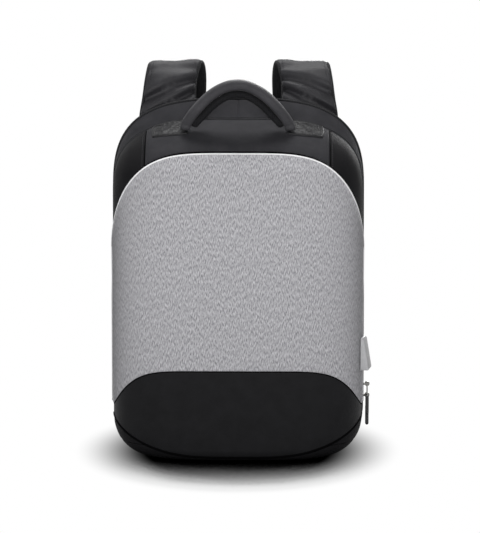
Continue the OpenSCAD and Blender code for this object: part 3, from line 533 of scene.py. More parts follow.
def rowTree(name):
    tree = bpy.data.node_groups.new(name, "GeometryNodeTree")
    face = tree.interface
    face.new_socket("Geometry", in_out="INPUT", socket_type="NodeSocketGeometry")
    for label, value in (("Spacing", 0.003), ("Width", 0.0008), ("Length", 0.0022)):
        face.new_socket(label, in_out="INPUT", socket_type="NodeSocketFloat").default_value = value
    face.new_socket("Material", in_out="INPUT", socket_type="NodeSocketMaterial")
    face.new_socket("Geometry", in_out="OUTPUT", socket_type="NodeSocketGeometry")
    given = tree.nodes.new("NodeGroupInput")
    spots = put(tree, "GeometryNodeCurveToPoints", {"mode": "LENGTH"},
                links={"Curve": (given, "Geometry"), "Length": (given, "Spacing")})
    size = put(tree, "ShaderNodeCombineXYZ", links={"X": (given, "Width"), "Y": (given, "Width"),
                                                    "Z": (given, "Length")})
    shape = put(tree, "GeometryNodeMeshUVSphere", values={"Radius": 0.5, "Segments": 6, "Rings": 4})
    rows = put(tree, "GeometryNodeInstanceOnPoints",
               links={"Points": (spots, "Points"), "Instance": (shape, "Mesh"),
                      "Rotation": (spots, "Rotation"), "Scale": (size, 0)})
    real = put(tree, "GeometryNodeRealizeInstances", links={"Geometry": (rows, 0)})
    smooth = put(tree, "GeometryNodeSetShadeSmooth", links={"Geometry": (real, 0)})
    coat = put(tree, "GeometryNodeSetMaterial",
               links={"Geometry": (smooth, 0), "Material": (given, "Material")})
    put(tree, "NodeGroupOutput", links={0: (coat, 0)})
    return tree


stitchTree = rowTree("stitchRow")
coilTree = rowTree("coilRow")


def setRow(name, tree, paths, spacing, width, length, mat, closed=False):
    curve = bpy.data.curves.new(name + "Path", "CURVE")
    curve.dimensions = "3D"
    for path in paths:
        line = curve.splines.new("POLY")
        line.points.add(len(path) - 1)
        for spot, p in zip(line.points, path):
            spot.co = (*(np.asarray(p, float) * mm), 1)
        line.use_cyclic_u = closed
    holder = newObject(name + "Path", curve)
    rows = holder.modifiers.new("rows", "NODES")
    rows.node_group = tree
    wanted = {"Spacing": spacing * mm, "Width": width * mm, "Length": length * mm, "Material": mat}
    for item in tree.interface.items_tree:
        if item.in_out == "INPUT" and item.name in wanted:
            rows[item.identifier] = wanted[item.name]
    mesh = bpy.data.meshes.new_from_object(evaluated(holder))
    mesh.name = name
    bpy.data.objects.remove(holder)
    return newObject(name, mesh)


def stitches(name, paths, body, closed=False, spacing=3.4, width=0.7, length=2.5):
    made = setRow(name, stitchTree, paths, spacing, width, length, finish["thread"], closed)
    keep(made, body, ())


rounding = {"flat": 2.0, "edge": 28.0, "shade": 50.0, "profile": 0.6}


def softened(node, name, mat, body, radius, steps=2):
    # a copy of a rigid node with its edges rounded over
    work = bmesh.new()
    work.from_mesh(nodes[node].data)
    bmesh.ops.remove_doubles(work, verts=work.verts, dist=1e-6)
    flat, sharp = math.radians(rounding["flat"]), math.radians(rounding["edge"])
    bmesh.ops.dissolve_limit(work, angle_limit=flat, verts=work.verts, edges=work.edges)
    edges = [e for e in work.edges if len(e.link_faces) == 2 and e.calc_face_angle(0) > sharp]
    bmesh.ops.bevel(work, geom=edges, offset=radius * mm, segments=steps, affect="EDGES",
                    profile=rounding["profile"], clamp_overlap=True)
    mesh = bpy.data.meshes.new(name)
    work.to_mesh(mesh)
    work.free()
    dress(mesh, mat, rounding["shade"])
    keep(newObject(name, mesh), body, (node,))


# the bag's own curves, close to those in the part's source

bag = {"half": 150.0, "zipHigh": 400.0, "deep": 105.0, "backDeep": 34.0, "zipY": 32.0, "shoulder": 95.0,
       "roof": 82.0, "backRise": 19.2, "baseR": 14.0, "baseSideR": 42.0, "baseH": 18.0, "baseBack": 30.0,
       "baseTuck": 0.7, "panelTop": 368.0, "cornerH": 138.0, "sideReach": 35.0, "lowerSeam": 110.0,
       "tipZ": 58.0, "tipH": 12.0, "hemZ": 5.0, "yokeX": 110.0, "slot": 5.0, "shellOut": 1.8, "shellIn": 4.8,
       "least": 0.5}
planPow, shoulderPow, roofPow, roofEase, seamPow, hemPow = 4, 3.05, 2.4, 0.75, 7, 4
cornerAcross, cornerUp = 4.3, 2.4
half, zipHigh, deep, zipY = bag["half"], bag["zipHigh"], bag["deep"], bag["zipY"]
shoulderZ, roofZ = zipHigh - bag["shoulder"], zipHigh - bag["roof"]
cornerZ = bag["panelTop"] - bag["cornerH"]
backY = zipY + bag["backDeep"]
sideAngle = math.asin((bag["sideReach"] / deep) ** (planPow / 2))


def bow(v, p):
    return (1 - np.clip(v, 0, 1) ** p) ** (1 / p)


def roundIn(z, r):
    return r - np.sqrt(r * r - np.clip(r - z, 0, r) ** 2)


def halfAt(z):
    z = np.asarray(z, float)
    return np.where(z <= shoulderZ, half - roundIn(z, bag["baseSideR"]),
                    np.maximum(bag["least"], half * bow((z - shoulderZ) / bag["shoulder"], shoulderPow)))


def deepAt(z):
    z = np.asarray(z, float)
    rise = np.clip((z - roofZ) / bag["roof"], 0, 1)
    return np.where(z <= roofZ, deep - roundIn(z, bag["baseR"]),
                    np.maximum(bag["least"], deep * (1 - rise ** roofPow) ** roofEase))


def backAt(z):
    return bag["baseBack"] - bag["baseTuck"] * roundIn(np.asarray(z, float), bag["baseR"])


def reachAt(x, z):
    return deepAt(z) * bow(np.abs(x) / halfAt(z), planPow)


def widthAt(f, z):
    return halfAt(z) * bow(f / deepAt(z), planPow)


def skinLevel(p):
    x, y, z = p[..., 0], p[..., 1], p[..., 2]
    away = np.where(y < zipY, (zipY - y) / deepAt(z), (y - zipY) / backAt(z))
    return (np.abs(x) / halfAt(z)) ** planPow + away ** planPow


def skinNormal(p):
    step = 0.05
    g = np.stack([skinLevel(p + step * d) - skinLevel(p - step * d) for d in np.eye(3)], -1)
    return g / np.maximum(np.linalg.norm(g, axis=-1, keepdims=True), 1e-12)


def lifted(p, d):
    return p + np.asarray(d)[..., None] * skinNormal(p)


def planX(t):
    return signed(np.cos(t), 2 / planPow)


def planF(t):
    return np.abs(np.sin(t)) ** (2 / planPow)


def skinAt(t, z):
    return pointsAt(halfAt(z) * planX(t), zipY - deepAt(z) * planF(t), z)


def bisect(low, high, goesUp, steps=40):
    low, high = np.array(low, float), np.array(high, float)
    for _ in range(steps):
        mid = (low + high) / 2
        up = goesUp(mid)
        low, high = np.where(up, mid, low), np.where(up, high, mid)
    return (low + high) / 2


def roofAt(x, f):
    return bisect(roofZ - bag["roof"], zipHigh, lambda z: reachAt(x, z) > f)


def roofPoint(x, f):
    return pointsAt(x, zipY - f, roofAt(x, f))


def panelX(z):
    return half * (1 - np.clip((z - cornerZ) / bag["cornerH"], 0, 1) ** cornerUp) ** (1 / cornerAcross)


def panelZ(x):
    return cornerZ + bag["cornerH"] * (1 - np.clip(np.abs(x) / half, 0, 1) ** cornerAcross) ** (1 / cornerUp)


def panelEnd(t):
    return bisect(cornerZ, bag["panelTop"], lambda z: panelX(z) > np.abs(halfAt(z) * planX(t)))


def seamShare(t):
    return np.clip(np.abs(planX(t)) / planX(sideAngle), 0, 1)


def lowerTop(t):
    return bag["lowerSeam"] - (bag["lowerSeam"] - bag["tipZ"]) * seamShare(t) ** seamPow


def lowerHem(t):
    return bag["hemZ"] + (bag["tipZ"] - bag["tipH"] - bag["hemZ"]) * seamShare(t) ** hemPow


def sideEdge(z):
    span = bag["tipZ"] - bag["tipH"] - bag["hemZ"]
    share = np.clip((z - bag["hemZ"]) / span, 0, 1) ** (1 / hemPow)
    corner = deepAt(z) * bow(share * planX(sideAngle), planPow)
    over = np.where(panelX(z) > bag["yokeX"], np.maximum(bag["sideReach"], reachAt(panelX(z), z)),
                    reachAt(bag["yokeX"], z))
    return np.where(z < bag["tipZ"] - bag["tipH"], np.maximum(bag["sideReach"], corner),
                    np.where(z < cornerZ, bag["sideReach"], over))


def evenAngles(step):
    # angles at even steps along the plan curve, from the right side round to the left
    t = np.linspace(sideAngle, math.pi - sideAngle, 6000)
    way = runLength(skinAt(t, cornerZ))
    return np.interp(spread(way[-1], step) * way[-1], way, t)


def archAngles(step):
    # angles at even steps along the shoulder curve, closer beside the middle of the top
    q = np.linspace(0, math.pi / 2, 4000)
    e = 2 / shoulderPow
    x, z = half * np.cos(q) ** e, bag["shoulder"] * np.sin(q) ** e
    way = np.concatenate([[0], np.cumsum(np.hypot(np.diff(x), np.diff(z)))])
    even = np.interp(np.linspace(0, way[-1], int(way[-1] / step)), way, q)[:-1]
    near = np.arccos((np.array([3.2, 2.0, 1.2, 0.5]) / half) ** (1 / e))
    right = np.concatenate([even[even < near[0] - 0.004], near])
    return np.concatenate([right, [math.pi / 2], math.pi - right[::-1]])


def archLine(z0, height, out, step=5.0):
    # outline of the zip line or the back panel, from the right foot over the top to the left foot
    q, e = archAngles(step), 2 / shoulderPow
    u, v = np.abs(np.cos(q)) ** e, np.abs(np.sin(q)) ** e
    g = unit(np.stack([u ** (shoulderPow - 1) / half, v ** (shoulderPow - 1) / height], -1))
    over, high = half * u + out * g[:, 0], shoulderZ + height * v + out * g[:, 1]
    top = np.stack([np.sign(np.cos(q)) * over, high], -1)
    rise = np.linspace(z0, shoulderZ, int((shoulderZ - z0) / step) + 1)[:-1]
    leg = np.stack([halfAt(rise) + out, rise], -1)
    return np.vstack([leg, top, leg[::-1] * [-1, 1]])


# front half: outer panels

greyPanel = {"proud": 1.2, "thick": 2.4, "sink": 0.5, "roll": 2.6, "lip": 0.9, "lipAt": 3.2, "lipWide": 2.2,
             "gap": 0.25, "step": 5.0}
angles = evenAngles(greyPanel["step"])


def frontGrid(low, high, step):
    low, high = low(angles), high(angles)
    share = spread(float(np.max(high - low)), step)[:, None]
    return skinAt(angles, low + (high - low) * share)


def onSkin(name, skin, out, under, mat, node, slot, turn=(1, 1, 1), sharp=60):
    # a sheet between two heights over the bag's skin
    outer, inner = lifted(skin, out) * turn, lifted(skin, under) * turn
    sew(name, outer, inner, mat, "front_half", (node,), slot, sharp)


def makeGreyPanel():
    g = greyPanel
    skin = frontGrid(lambda t: lowerTop(t) + g["gap"], lambda t: panelEnd(t) - g["gap"], g["step"])
    ways = edgeWays(skin)
    out = -g["sink"] + (g["proud"] + g["sink"]) * rolled(np.min(ways, axis=0), g["roll"])
    out = out + g["lip"] * np.exp(-((ways[1] - g["lipAt"]) / g["lipWide"]) ** 2)
    onSkin("greyFrontPanel", skin, out, g["proud"] - g["thick"], finish["heather"],
           "front_panel", "heather_panel")


lowerCloth = {"thick": 1.4, "sink": 0.7, "roll": 2.2, "sag": 0.35, "fade": 14.0, "gap": 0.25, "step": 4.0}


def makeLowerPanel():
    g = lowerCloth
    skin = frontGrid(lambda t: lowerHem(t) + g["gap"], lambda t: lowerTop(t) - g["gap"], g["step"])
    near = np.min(edgeWays(skin), axis=0)
    out = g["sink"] * (rolled(near, g["roll"]) - 1)
    out = out + g["sag"] * crumple(skin, 42, 1) * np.clip(near / g["fade"], 0, 1)
    onSkin("lowerFrontCloth", skin, out, -g["thick"], finish["lower"], "lower_front_panel", "black_lower")


yokeCloth = {"under": 2.0, "sink": 0.7, "roll": 1.8, "groove": 1.1, "puff": 0.5, "fade": 12.0, "gap": 0.3,
             "long": 75.0, "step": 3.0, "stepAcross": 4.0}


def makeYoke():
    g = yokeCloth
    wide = bag["yokeX"] - g["gap"]
    x = wide - 2 * wide * spread(2 * wide, g["stepAcross"])
    front = reachAt(x, panelZ(x) + g["gap"])
    skin = roofPoint(x, front + (bag["slot"] - front) * spread(g["long"], g["step"])[:, None])
    low, *others = edgeWays(skin)
    free = np.min(others, axis=0)
    out = g["sink"] * (rolled(free, g["roll"]) - 1) - g["groove"] * np.exp(-(low / g["roll"]) ** 2)
    out = out + g["puff"] * np.clip(np.minimum(low, free) / g["fade"], 0, 1) * (1 + crumple(skin, 38, 2))
    onSkin("topYoke", skin, out, -g["under"], finish["nylon"], "top_yoke", "black_nylon")


sideCloth = {"under": 1.8, "sink": 0.7, "roll": 1.8, "crease": 0.45, "fade": 12.0, "gap": 0.5, "hem": 0.3,
             "slotGap": 0.5, "topGap": 0.6, "topBand": 2.0, "long": 45.0, "step": 2.5, "stepUp": 3.5}


def makeSide(sign, name, node, seed):
    g = sideCloth
    nearest, seamX = bag["slot"] + g["slotGap"], bag["yokeX"] + g["gap"]
    lowZ, topZ = bag["baseH"] + g["hem"], float(roofAt(seamX, bag["slot"] + g["topGap"]))
    z = lowZ + (topZ - lowZ) * spread(topZ - bag["baseH"], g["stepUp"])
    far = np.where(z > topZ - g["topBand"], reachAt(seamX, z), sideEdge(z) - g["gap"])
    f = bag["slot"] + (np.maximum(nearest, far)[:, None] - bag["slot"]) * spread(g["long"], g["step"])
    skin = pointsAt(widthAt(f, z[:, None]), zipY - f, z[:, None])
    low, top, back, front = edgeWays(skin)
    free = np.minimum(np.minimum(back, front), low)
    crease = crumple(skin, 40, seed) + 0.5 * crumple(skin, 17, seed + 4)
    out = g["sink"] * (rolled(free, g["roll"]) - 1)
    out = out + g["crease"] * np.clip(np.minimum(free, top) / g["fade"], 0, 1) * crease
    onSkin(name, skin, out, -g["under"], finish["sides"], node, "black_nylon", (sign, 1, 1))


baseTray = {"rows": 14, "rings": 7, "round": 150, "thick": 1.4, "crease": 0.15, "sink": 0.4, "roll": 1.6,
            "fade": 9.0}


def trayPoint(t, z):
    y = np.where(np.sin(t) < 0, backAt(z), -deepAt(z)) * planF(t)
    return pointsAt(halfAt(z) * planX(t), zipY + y, z)


def makeBase():
    g = baseTray
    q = np.linspace(0, 2 * math.pi, 8000)
    way = runLength(trayPoint(q, bag["baseH"]))
    t = np.interp(np.linspace(0, way[-1], g["round"] + 1), way, q)
    hem = np.minimum(bag["baseH"], lowerHem(np.clip(t, sideAngle, math.pi - sideAngle)))
    edge = np.where(t > math.pi, bag["baseH"], hem)
    skin = np.array([trayPoint(t, edge * (1 - i / g["rows"]) ** 2) for i in range(g["rows"] + 1)])
    down = edgeWays(skin)[0]
    lift = g["sink"] * (rolled(down, g["roll"]) - 1)
    lift = lift + g["crease"] * np.clip(down / g["fade"], 0, 1) * crumple(skin, 30, 3)
    lift[-2:] = 0
    outer, inner = lifted(skin, lift), lifted(skin, -g["thick"])
    outer[..., 2] = np.maximum(outer[..., 2], 0)
    inner[-1, :, 2] = g["thick"]
    middle = np.array([0, zipY - deep / 2, 0])
    rings = skin[-1] + (middle - skin[-1]) * np.linspace(0, 1, g["rings"] + 1)[1:, None, None]
    outer, inner = np.concatenate([outer, rings]), np.concatenate([inner, rings + [0, 0, g["thick"]]])
    sew("basePanel", outer, inner, finish["sides"], "front_half", ("base_panel",), "black_lower")


trim = {"rimR": 1.5, "rimIn": 1.0, "rimTop": 0.9, "rimSide": 0.3, "shadeTubeR": 1.3, "shadeTubeTop": 0.2,
        "shadeTubeSide": 0.9, "hemR": 1.9, "hemOut": -0.9, "seamR": 1.0, "seamOut": -0.5, "yokeOut": -1.1,
        "rowIn": 4.0, "rowEnd": 3.5, "rowOut": 0.35, "sideRow": 3.0, "sideRowOut": 0.3, "blend": 60.0}


def panelBorder(inset):
    # up one side of the grey panel, over its top edge and down the other
    t = angles[1:-1]
    top = skinAt(t, panelEnd(t) - inset)
    z = np.arange(bag["tipZ"] + 3, float(panelEnd(angles[:1])[0]) - 2, 4.0)
    f = bag["sideReach"] + inset
    right = pointsAt(widthAt(f, z), zipY - f, z)
    up = np.clip((z - z[-1]) / trim["blend"] + 1, 0, 1)
    return (np.concatenate([right, top, right[::-1] * [-1, 1, 1]]),
            np.concatenate([up, np.ones(len(t)), up[::-1]]))


def yokeLine(at, short, count):
    # along the yoke's side seam, from the grey panel's top edge back to the zip
    return roofPoint(at, np.linspace(float(reachAt(at, panelZ(at))) - short, bag["slot"] + short, count))


def makeTrim():
    g = trim
    # near-white bead along the grey panel's top edge: painted highlight on a real edge
    line, up = panelBorder(g["rimIn"])
    path = lifted(line, g["rimSide"] + (g["rimTop"] - g["rimSide"]) * up)
    cord("panelRimHighlight", path, g["rimR"], finish["rim"], 10, "front_half")
    # near-black tubes along the panel, lower, hem and yoke seams: painted shade in the seam grooves
    line, up = panelBorder(-g["shadeTubeR"])
    seam = lifted(yokeLine(bag["yokeX"], 1, 40), g["yokeOut"])
    shadeTubes = {"panelSeamShadeTube": (lifted(line, g["shadeTubeSide"] + (g["shadeTubeTop"] - g["shadeTubeSide"]) * up), g["shadeTubeR"]),
             "lowerSeamShadeTube": (lifted(skinAt(angles, lowerTop(angles)), g["seamOut"]), g["seamR"]),
             "hemSeamShadeTube": (lifted(skinAt(angles, lowerHem(angles)), g["hemOut"]), g["hemR"]),
             "rightYokeSeamShade": (seam, g["seamR"]), "leftYokeSeamShade": (seam * [-1, 1, 1], g["seamR"])}
    for name, (path, radius) in shadeTubes.items():
        cord(name, path, radius, finish["groove"], 8, "front_half")
    wide = bag["yokeX"] - g["rowEnd"]
    x = np.linspace(wide, -wide, 120)
    rows = [lifted(roofPoint(x, reachAt(x, panelZ(x)) - g["rowIn"]), g["rowOut"])]
    for sx in (-1, 1):
        for at in (bag["yokeX"] - g["sideRow"], bag["yokeX"] + g["sideRow"]):
            rows.append(lifted(yokeLine(at, 3, 60), g["sideRowOut"]) * [sx, 1, 1])
    stitches("yokeSeamStitches", rows, "front_half", False, 3.2, 0.8, 2.5)


makeGreyPanel()
makeTrim()
makeLowerPanel()
makeYoke()
makeSide(1, "rightSideCloth", "right_side_panel", 5)
makeSide(-1, "leftSideCloth", "left_side_panel", 6)
makeBase()
print("front panels ready")

# front half: formed lining, zip and piping

lining = {"step": 9.0, "crease": 0.5, "fade": 20.0, "gap": 0.5, "under": 0.1}


def makeLining():
    g = lining
    skin = frontGrid(lambda t: lowerHem(t) + g["gap"], lambda t: panelEnd(t) - g["gap"], g["step"])
    near = np.min(edgeWays(skin), axis=0)
    soft = g["crease"] * crumple(skin, 60, 9) * np.clip(near / g["fade"], 0, 1)
    onSkin("formedLining", skin, -bag["shellOut"] - g["under"], soft - bag["shellIn"], finish["foam"],
           "moulded_shell", "moulded_foam")


zipLine = {"end": 48.0, "tapeNear": 3.6, "tapeFar": 10.0, "flap": 4.6, "frontOut": -3.4, "backOut": -1.8,
           "tapeThick": 0.9, "pitch": 1.8, "tooth": 2.6, "toothLong": 1.2, "toothIn": -2.0, "toothAt": 1.45,
           "toothFrom": 0.7}


def archPath(z0, height, out, y, step=5.0):
    line = archLine(z0, height, out, step)
    return pointsAt(line[:, 0], y, line[:, 1])


def makeTape(name, node, body, y0, y1, out):
    thick = zipLine["tapeThick"]
    across = np.linspace(y0, y1, 4)
    outer, inner = (np.array([archPath(zipLine["end"], bag["shoulder"], level, y) for y in across])
                    for level in (out, out - thick))
    sew(name, outer, inner, finish["tape"], body, (node,), "webbing", 40)


def makeCoil(name, node, body, y, start):
    g = zipLine
    path = archPath(start, bag["shoulder"], g["toothIn"], y, 2.0)
    made = setRow(name, coilTree, [path], g["pitch"], g["tooth"], g["toothLong"], finish["coil"])
    keep(made, body, (node,))


def makeZip():
    g = zipLine
    makeTape("frontZipTape", "front_zip_tape", "front_half", zipY - g["tapeFar"], zipY + g["flap"],
             g["frontOut"])
    makeTape("backZipTape", "back_zip_tape", "back_half", zipY + g["tapeNear"], zipY + g["tapeFar"],
             g["backOut"])
    start = g["end"] + g["toothFrom"]
    makeCoil("frontZipCoil", "front_zip_teeth", "front_half", zipY - g["toothAt"], start)
    makeCoil("backZipCoil", "back_zip_teeth", "back_half", zipY + g["toothAt"], start + g["pitch"] / 2)


piping = {"thick": 0.8, "out": 0.15, "low": 20.0, "away": 0.9}


def makePiping(name, body, y):
    path = archPath(piping["low"], bag["shoulder"], piping["out"], y, 4.0)
    cord(name, path, piping["thick"], finish["cordCloth"], 8, body)


makeLining()
makeZip()
makePiping("frontZipPiping", "front_half", zipY - bag["slot"] - piping["away"])
makePiping("rearZipPiping", "back_half", zipY + bag["slot"] + piping["away"])
print("lining and zip ready")

# handle patches and handle

patch = {"near": 58.0, "far": 103.0, "front": 48.0, "back": 9.0, "round": 0.3, "thick": 2.2, "border": 3.6,
         "borderEase": 1.6, "roll": 1.3, "dip": 1.3, "pebble": 1.0, "under": 0.1, "edge": 0.15, "step": 1.1,
         "size": 40.0, "row": 0.9, "rowCorner": 0.45, "rowOut": 0.15}


def patchPoint(u, v):
    # u and v run from -1 to 1; the corners are rounded in
    p = patch
    tuck = np.sqrt(1 - p["round"] * v ** 2 * u ** 2 / 2)
    x = (p["near"] + p["far"]) / 2 + (p["far"] - p["near"]) / 2 * u * tuck
    f = (p["front"] + p["back"]) / 2 + (p["front"] - p["back"]) / 2 * v * tuck
    return roofPoint(x, f)


def makePatch(sign, name, node, seed):
    p = patch
    side = 1 - 2 * spread(p["size"], p["step"])
    skin = patchPoint(*np.meshgrid(side, side))
    near = np.min(edgeWays(skin), axis=0)
    inside = np.clip((near - p["border"]) / p["borderEase"], 0, 1)
    out = p["edge"] + (p["thick"] - p["under"]) * rolled(near, p["roll"]) - p["dip"] * inside
    out = out + inside * p["pebble"] * (crumple(skin, 3.6, seed) + 0.7 * crumple(skin, 8.0, seed + 1))
    turn = (sign, 1, 1)
    onSkin(name, skin, out, p["under"], finish["patch"], node, "patch", turn, 70)
    a = np.linspace(0, 2 * math.pi, 90, endpoint=False)
    ring = patchPoint(*(p["row"] * signed(way, p["rowCorner"]) for way in (np.cos(a), np.sin(a))))
    ring = lifted(ring, p["thick"] + p["rowOut"]) * turn
    stitches(name + "Stitches", [ring], "front_half", True, 2.9, 0.75, 2.1)


grip = {"pivot": (62.25, -10.47, 395.64), "rise": 50.0, "bow": 0.8, "endR": 5.0, "wide": 22.0, "thick": 13.0,
        "swell": 2.1, "slim": 0.32, "count": 90, "around": 36, "soft": 0.72, "crease": 0.25,
        "tipSteps": (85, 68, 50, 32, 15), "tipBlunt": 0.4, "nudge": 0.07, "stand": 0.25}
ribbed = {"from": 11.0, "count": 150, "around": 28, "soft": 0.7, "thick": 8.6, "wide": 15.8, "out": -11.1,
          "run": 22.0, "tip": 3.5, "tipLeast": 0.06, "outShare": 0.25, "wideShare": 0.45, "pitch": 3.2,
          "rib": 0.045}


def handleArc(q):
    x, y, z = grip["pivot"]
    u = np.cos(q)
    high = np.maximum(np.cos(math.pi / 2 * u), 0) ** grip["bow"]
    return pointsAt(x * u, y, z + grip["rise"] * high)


def handleUp(q):
    # across the handle in its own plane; the ends stand upright
    g = grip
    way = unit(handleArc(np.minimum(math.pi, q + g["nudge"])) - handleArc(np.maximum(0, q - g["nudge"])))
    stand = np.clip(np.minimum(q, math.pi - q) / g["stand"], 0, 1)[:, None]
    way = unit(way * stand + np.array([0.0, 0.0, 1.0]) * np.sign(np.cos(q))[:, None] * (1 - stand))
    return np.cross(way, [0.0, 1.0, 0.0])


def slabRings(path, side, up, wide, thick, around, soft):
    a = np.linspace(0, 2 * math.pi, around, endpoint=False)
    u, v = signed(np.cos(a), soft)[None, :, None], signed(np.sin(a), soft)[None, :, None]
    wide, thick = (np.broadcast_to(size, len(path))[:, None, None] for size in (wide, thick))
    return path[:, None] + side[:, None] * u * wide / 2 + up[:, None] * v * thick / 2


def ringUv(rings):
    over = np.linalg.norm(np.diff(np.concatenate([rings, rings[:, :1]], 1), axis=1), axis=2)
    over = np.concatenate([np.zeros((len(rings), 1)), np.cumsum(over, 1)[:, :-1]], 1)
    along = runLength(rings.mean(1))
    return np.stack([over, np.tile(along[:, None], (1, rings.shape[1]))], -1).reshape(-1, 2)


def handleEnd(ring, middle):
    # rings that close an end of the grip, from the tip up
    steps = []
    for s in np.radians(grip["tipSteps"]):
        shrink = [math.cos(s) ** grip["tipBlunt"], math.cos(s), 0]
        steps.append(middle + (ring - middle) * shrink - [0, 0, grip["endR"] * math.sin(s)])
    return np.array(steps)


def padHandle(name, rings, mat, node):
    made = ringSolid(name, rings, mat, ringUv(rings), 70)
    keep(made, "carry_handle", (node,))


def makeGrip():
    g = grip
    q = np.linspace(0, math.pi, g["count"])
    path, up = handleArc(q), -handleUp(q)
    share = np.clip(np.sin(q) * g["swell"] - g["slim"], 0, 1)
    side = np.tile([0.0, 1.0, 0.0], (len(q), 1))
    wide = 2 * g["endR"] + (g["wide"] - 2 * g["endR"]) * share
    rings = slabRings(path, side, up, wide, g["thick"], g["around"], g["soft"])
    rings += g["crease"] * up[:, None] * crumple(rings, 26, 12)[..., None]
    whole = np.concatenate([handleEnd(rings[0], path[0]), rings, handleEnd(rings[-1], path[-1])[::-1]])
    padHandle("handleGrip", whole, finish["grip"], "handle_grip")


def makeUnderside():
    g = ribbed
    q = np.linspace(math.radians(g["from"]), math.pi - math.radians(g["from"]), g["count"])
    path, up = handleArc(q), handleUp(q)
    side = np.tile([0.0, 1.0, 0.0], (len(q), 1))
    along = runLength(path)
    reach = np.minimum(along, along[-1] - along)
    grown = np.clip(reach / g["run"], 0, 1)
    path = path - up * (g["out"] * (1 - g["outShare"] + g["outShare"] * grown))[:, None]
    size = np.sqrt(np.clip(reach / g["tip"], g["tipLeast"], 1))
    size = size * (1 + g["rib"] * np.cos(2 * math.pi * along / g["pitch"]))
    wide = g["wide"] * size * (1 - g["wideShare"] + g["wideShare"] * grown)
    rings = slabRings(path, side, up, wide, g["thick"] * size, g["around"], g["soft"])
    padHandle("handleUnderside", rings, finish["net"], "handle_underside")


makePatch(1, "rightHandlePatch", "right_handle_patch", 21)
makePatch(-1, "leftHandlePatch", "left_handle_patch", 24)
makeGrip()
makeUnderside()
print("handle ready")

# charging port, zip sliders and pulls

softened("usb_housing", "portHousing", finish["usb"], "front_half", 1.5, 3)
softened("usb_socket_shell", "portShell", finish["steel"], "front_half", 0.15)
softened("usb_socket_tongue", "portTongue", finish["white"], "front_half", 0.2)
softened("zip_end_stops", "zipEndStops", finish["nickel"], "front_half", 0.5)
for which in ("upper", "lower"):
    slider, pull = which + "_zip_slider", which + "_zip_pull"
    softened(which + "_slider", which + "Slider", finish["nickel"], slider, 0.5)
    softened(which + "_pull_link", which + "PullLink", finish["nickel"], pull, 0.45, 3)
    softened(which + "_pull_grip", which + "PullGrip", finish["rubber"], pull, 1.1, 3)
for which in ("left", "right"):
    body = which + "_shoulder_strap"
    softened(which + "_adjuster", which + "Adjuster", finish["buckle"], body, 0.7)
    softened(which + "_anchor_tab", which + "AnchorTab", finish["cordCloth"], "back_half",
             0.9, 3)
for stiff in ("base_board", "frame_sheet"):
    nodes[stiff].material_slots[0].material = finish["board"]
print("fittings ready")

# back half

rim = {"low": 20.0, "front": 37.0, "deep": 22.8, "puff": 0.9, "seam": 0.9, "seamWide": 0.9, "thick": 1.4,
       "crease": 0.5, "fade": 5, "tuck": 0.6, "roll": 1.6, "step": 2.4, "bindR": 2.0, "bindOut": 0.3,
       "bindIn": 4.2}


def makeRim():
    g = rim
    shares = spread(g["deep"], g["step"])
    outer, inner, away = [], [], []
    for s in shares:
        high, y = bag["shoulder"] + bag["backRise"] * s, g["front"] + g["deep"] * s
        tuck = g["tuck"] * (1 - rolled(min(s, 1 - s) * g["deep"], g["roll"]))
        puff = g["puff"] * math.sin(math.pi * s) - tuck
        outer.append(archPath(g["low"], high, puff, y))
        away.append(archPath(g["low"], high, puff + 1, y) - outer[-1])
        inner.append(archPath(g["low"], high, -g["thick"], y))
    outer, inner, away = np.array(outer), np.array(inner), np.array(away)
    middle = np.exp(-(outer[..., 0] / g["seamWide"]) ** 2) * (outer[..., 2] > shoulderZ)
    fade = np.clip(np.minimum(shares, 1 - shares) * g["fade"], 0, 1)[:, None]
    lift = g["crease"] * fade * crumple(outer, 34, 14) - g["seam"] * middle
    outer = outer + away * lift[..., None]
    sew("rimGusset", outer, inner, finish["nylon"], "back_half", ("rim_gusset",), "black_nylon")
    path = archPath(g["low"] + 1, bag["shoulder"] + bag["backRise"], g["bindOut"], backY - g["bindIn"], 4.0)
    cord("backBinding", path, g["bindR"], finish["webbing"], 12, "back_half")


backFace = {"front": 60.3, "face": 66.0, "edge": 3.0, "roll": 7.0, "low": 20.0, "quilt": 0.25, "inset": 0.8,
            "sink": 0.2, "fade": 20.0, "step": 7.0}


def makeBackFace():
    g = backFace
    high = bag["shoulder"] + bag["backRise"]
    line = archLine(g["low"], high, -g["inset"])
    side = line[:len(line) // 2 + 1]
    u = 1 - 2 * spread(2 * half, g["step"])
    x, z = side[:, :1] * u, side[:, 1:] + 0 * u
    level = (np.abs(x) / half) ** shoulderPow + (np.clip(z - shoulderZ, 0, None) / high) ** shoulderPow
    level = level ** (1 / shoulderPow)
    near = np.minimum(np.where(z > shoulderZ, (1 - level) * high, halfAt(z) - np.abs(x)), z - g["low"])
    y = g["face"] - g["edge"] * (1 - rolled(np.maximum(near, 0), g["roll"])) - g["sink"]
    y = y + g["quilt"] * crumple(pointsAt(x, 0.0, z), 30, 15) * np.clip(near / g["fade"], 0, 1) - g["quilt"]
    made = sew("backPanel", pointsAt(x, y, z), pointsAt(x, g["front"], z), finish["litPadNet"], "back_half",
               ("back_panel",), "mesh_padding")


padCloth = {"quality": 5, "stiffness": 15, "frames": 20}


def settle(made):
    made.data = bpy.data.meshes.new_from_object(evaluated(made))
    made.modifiers.clear()


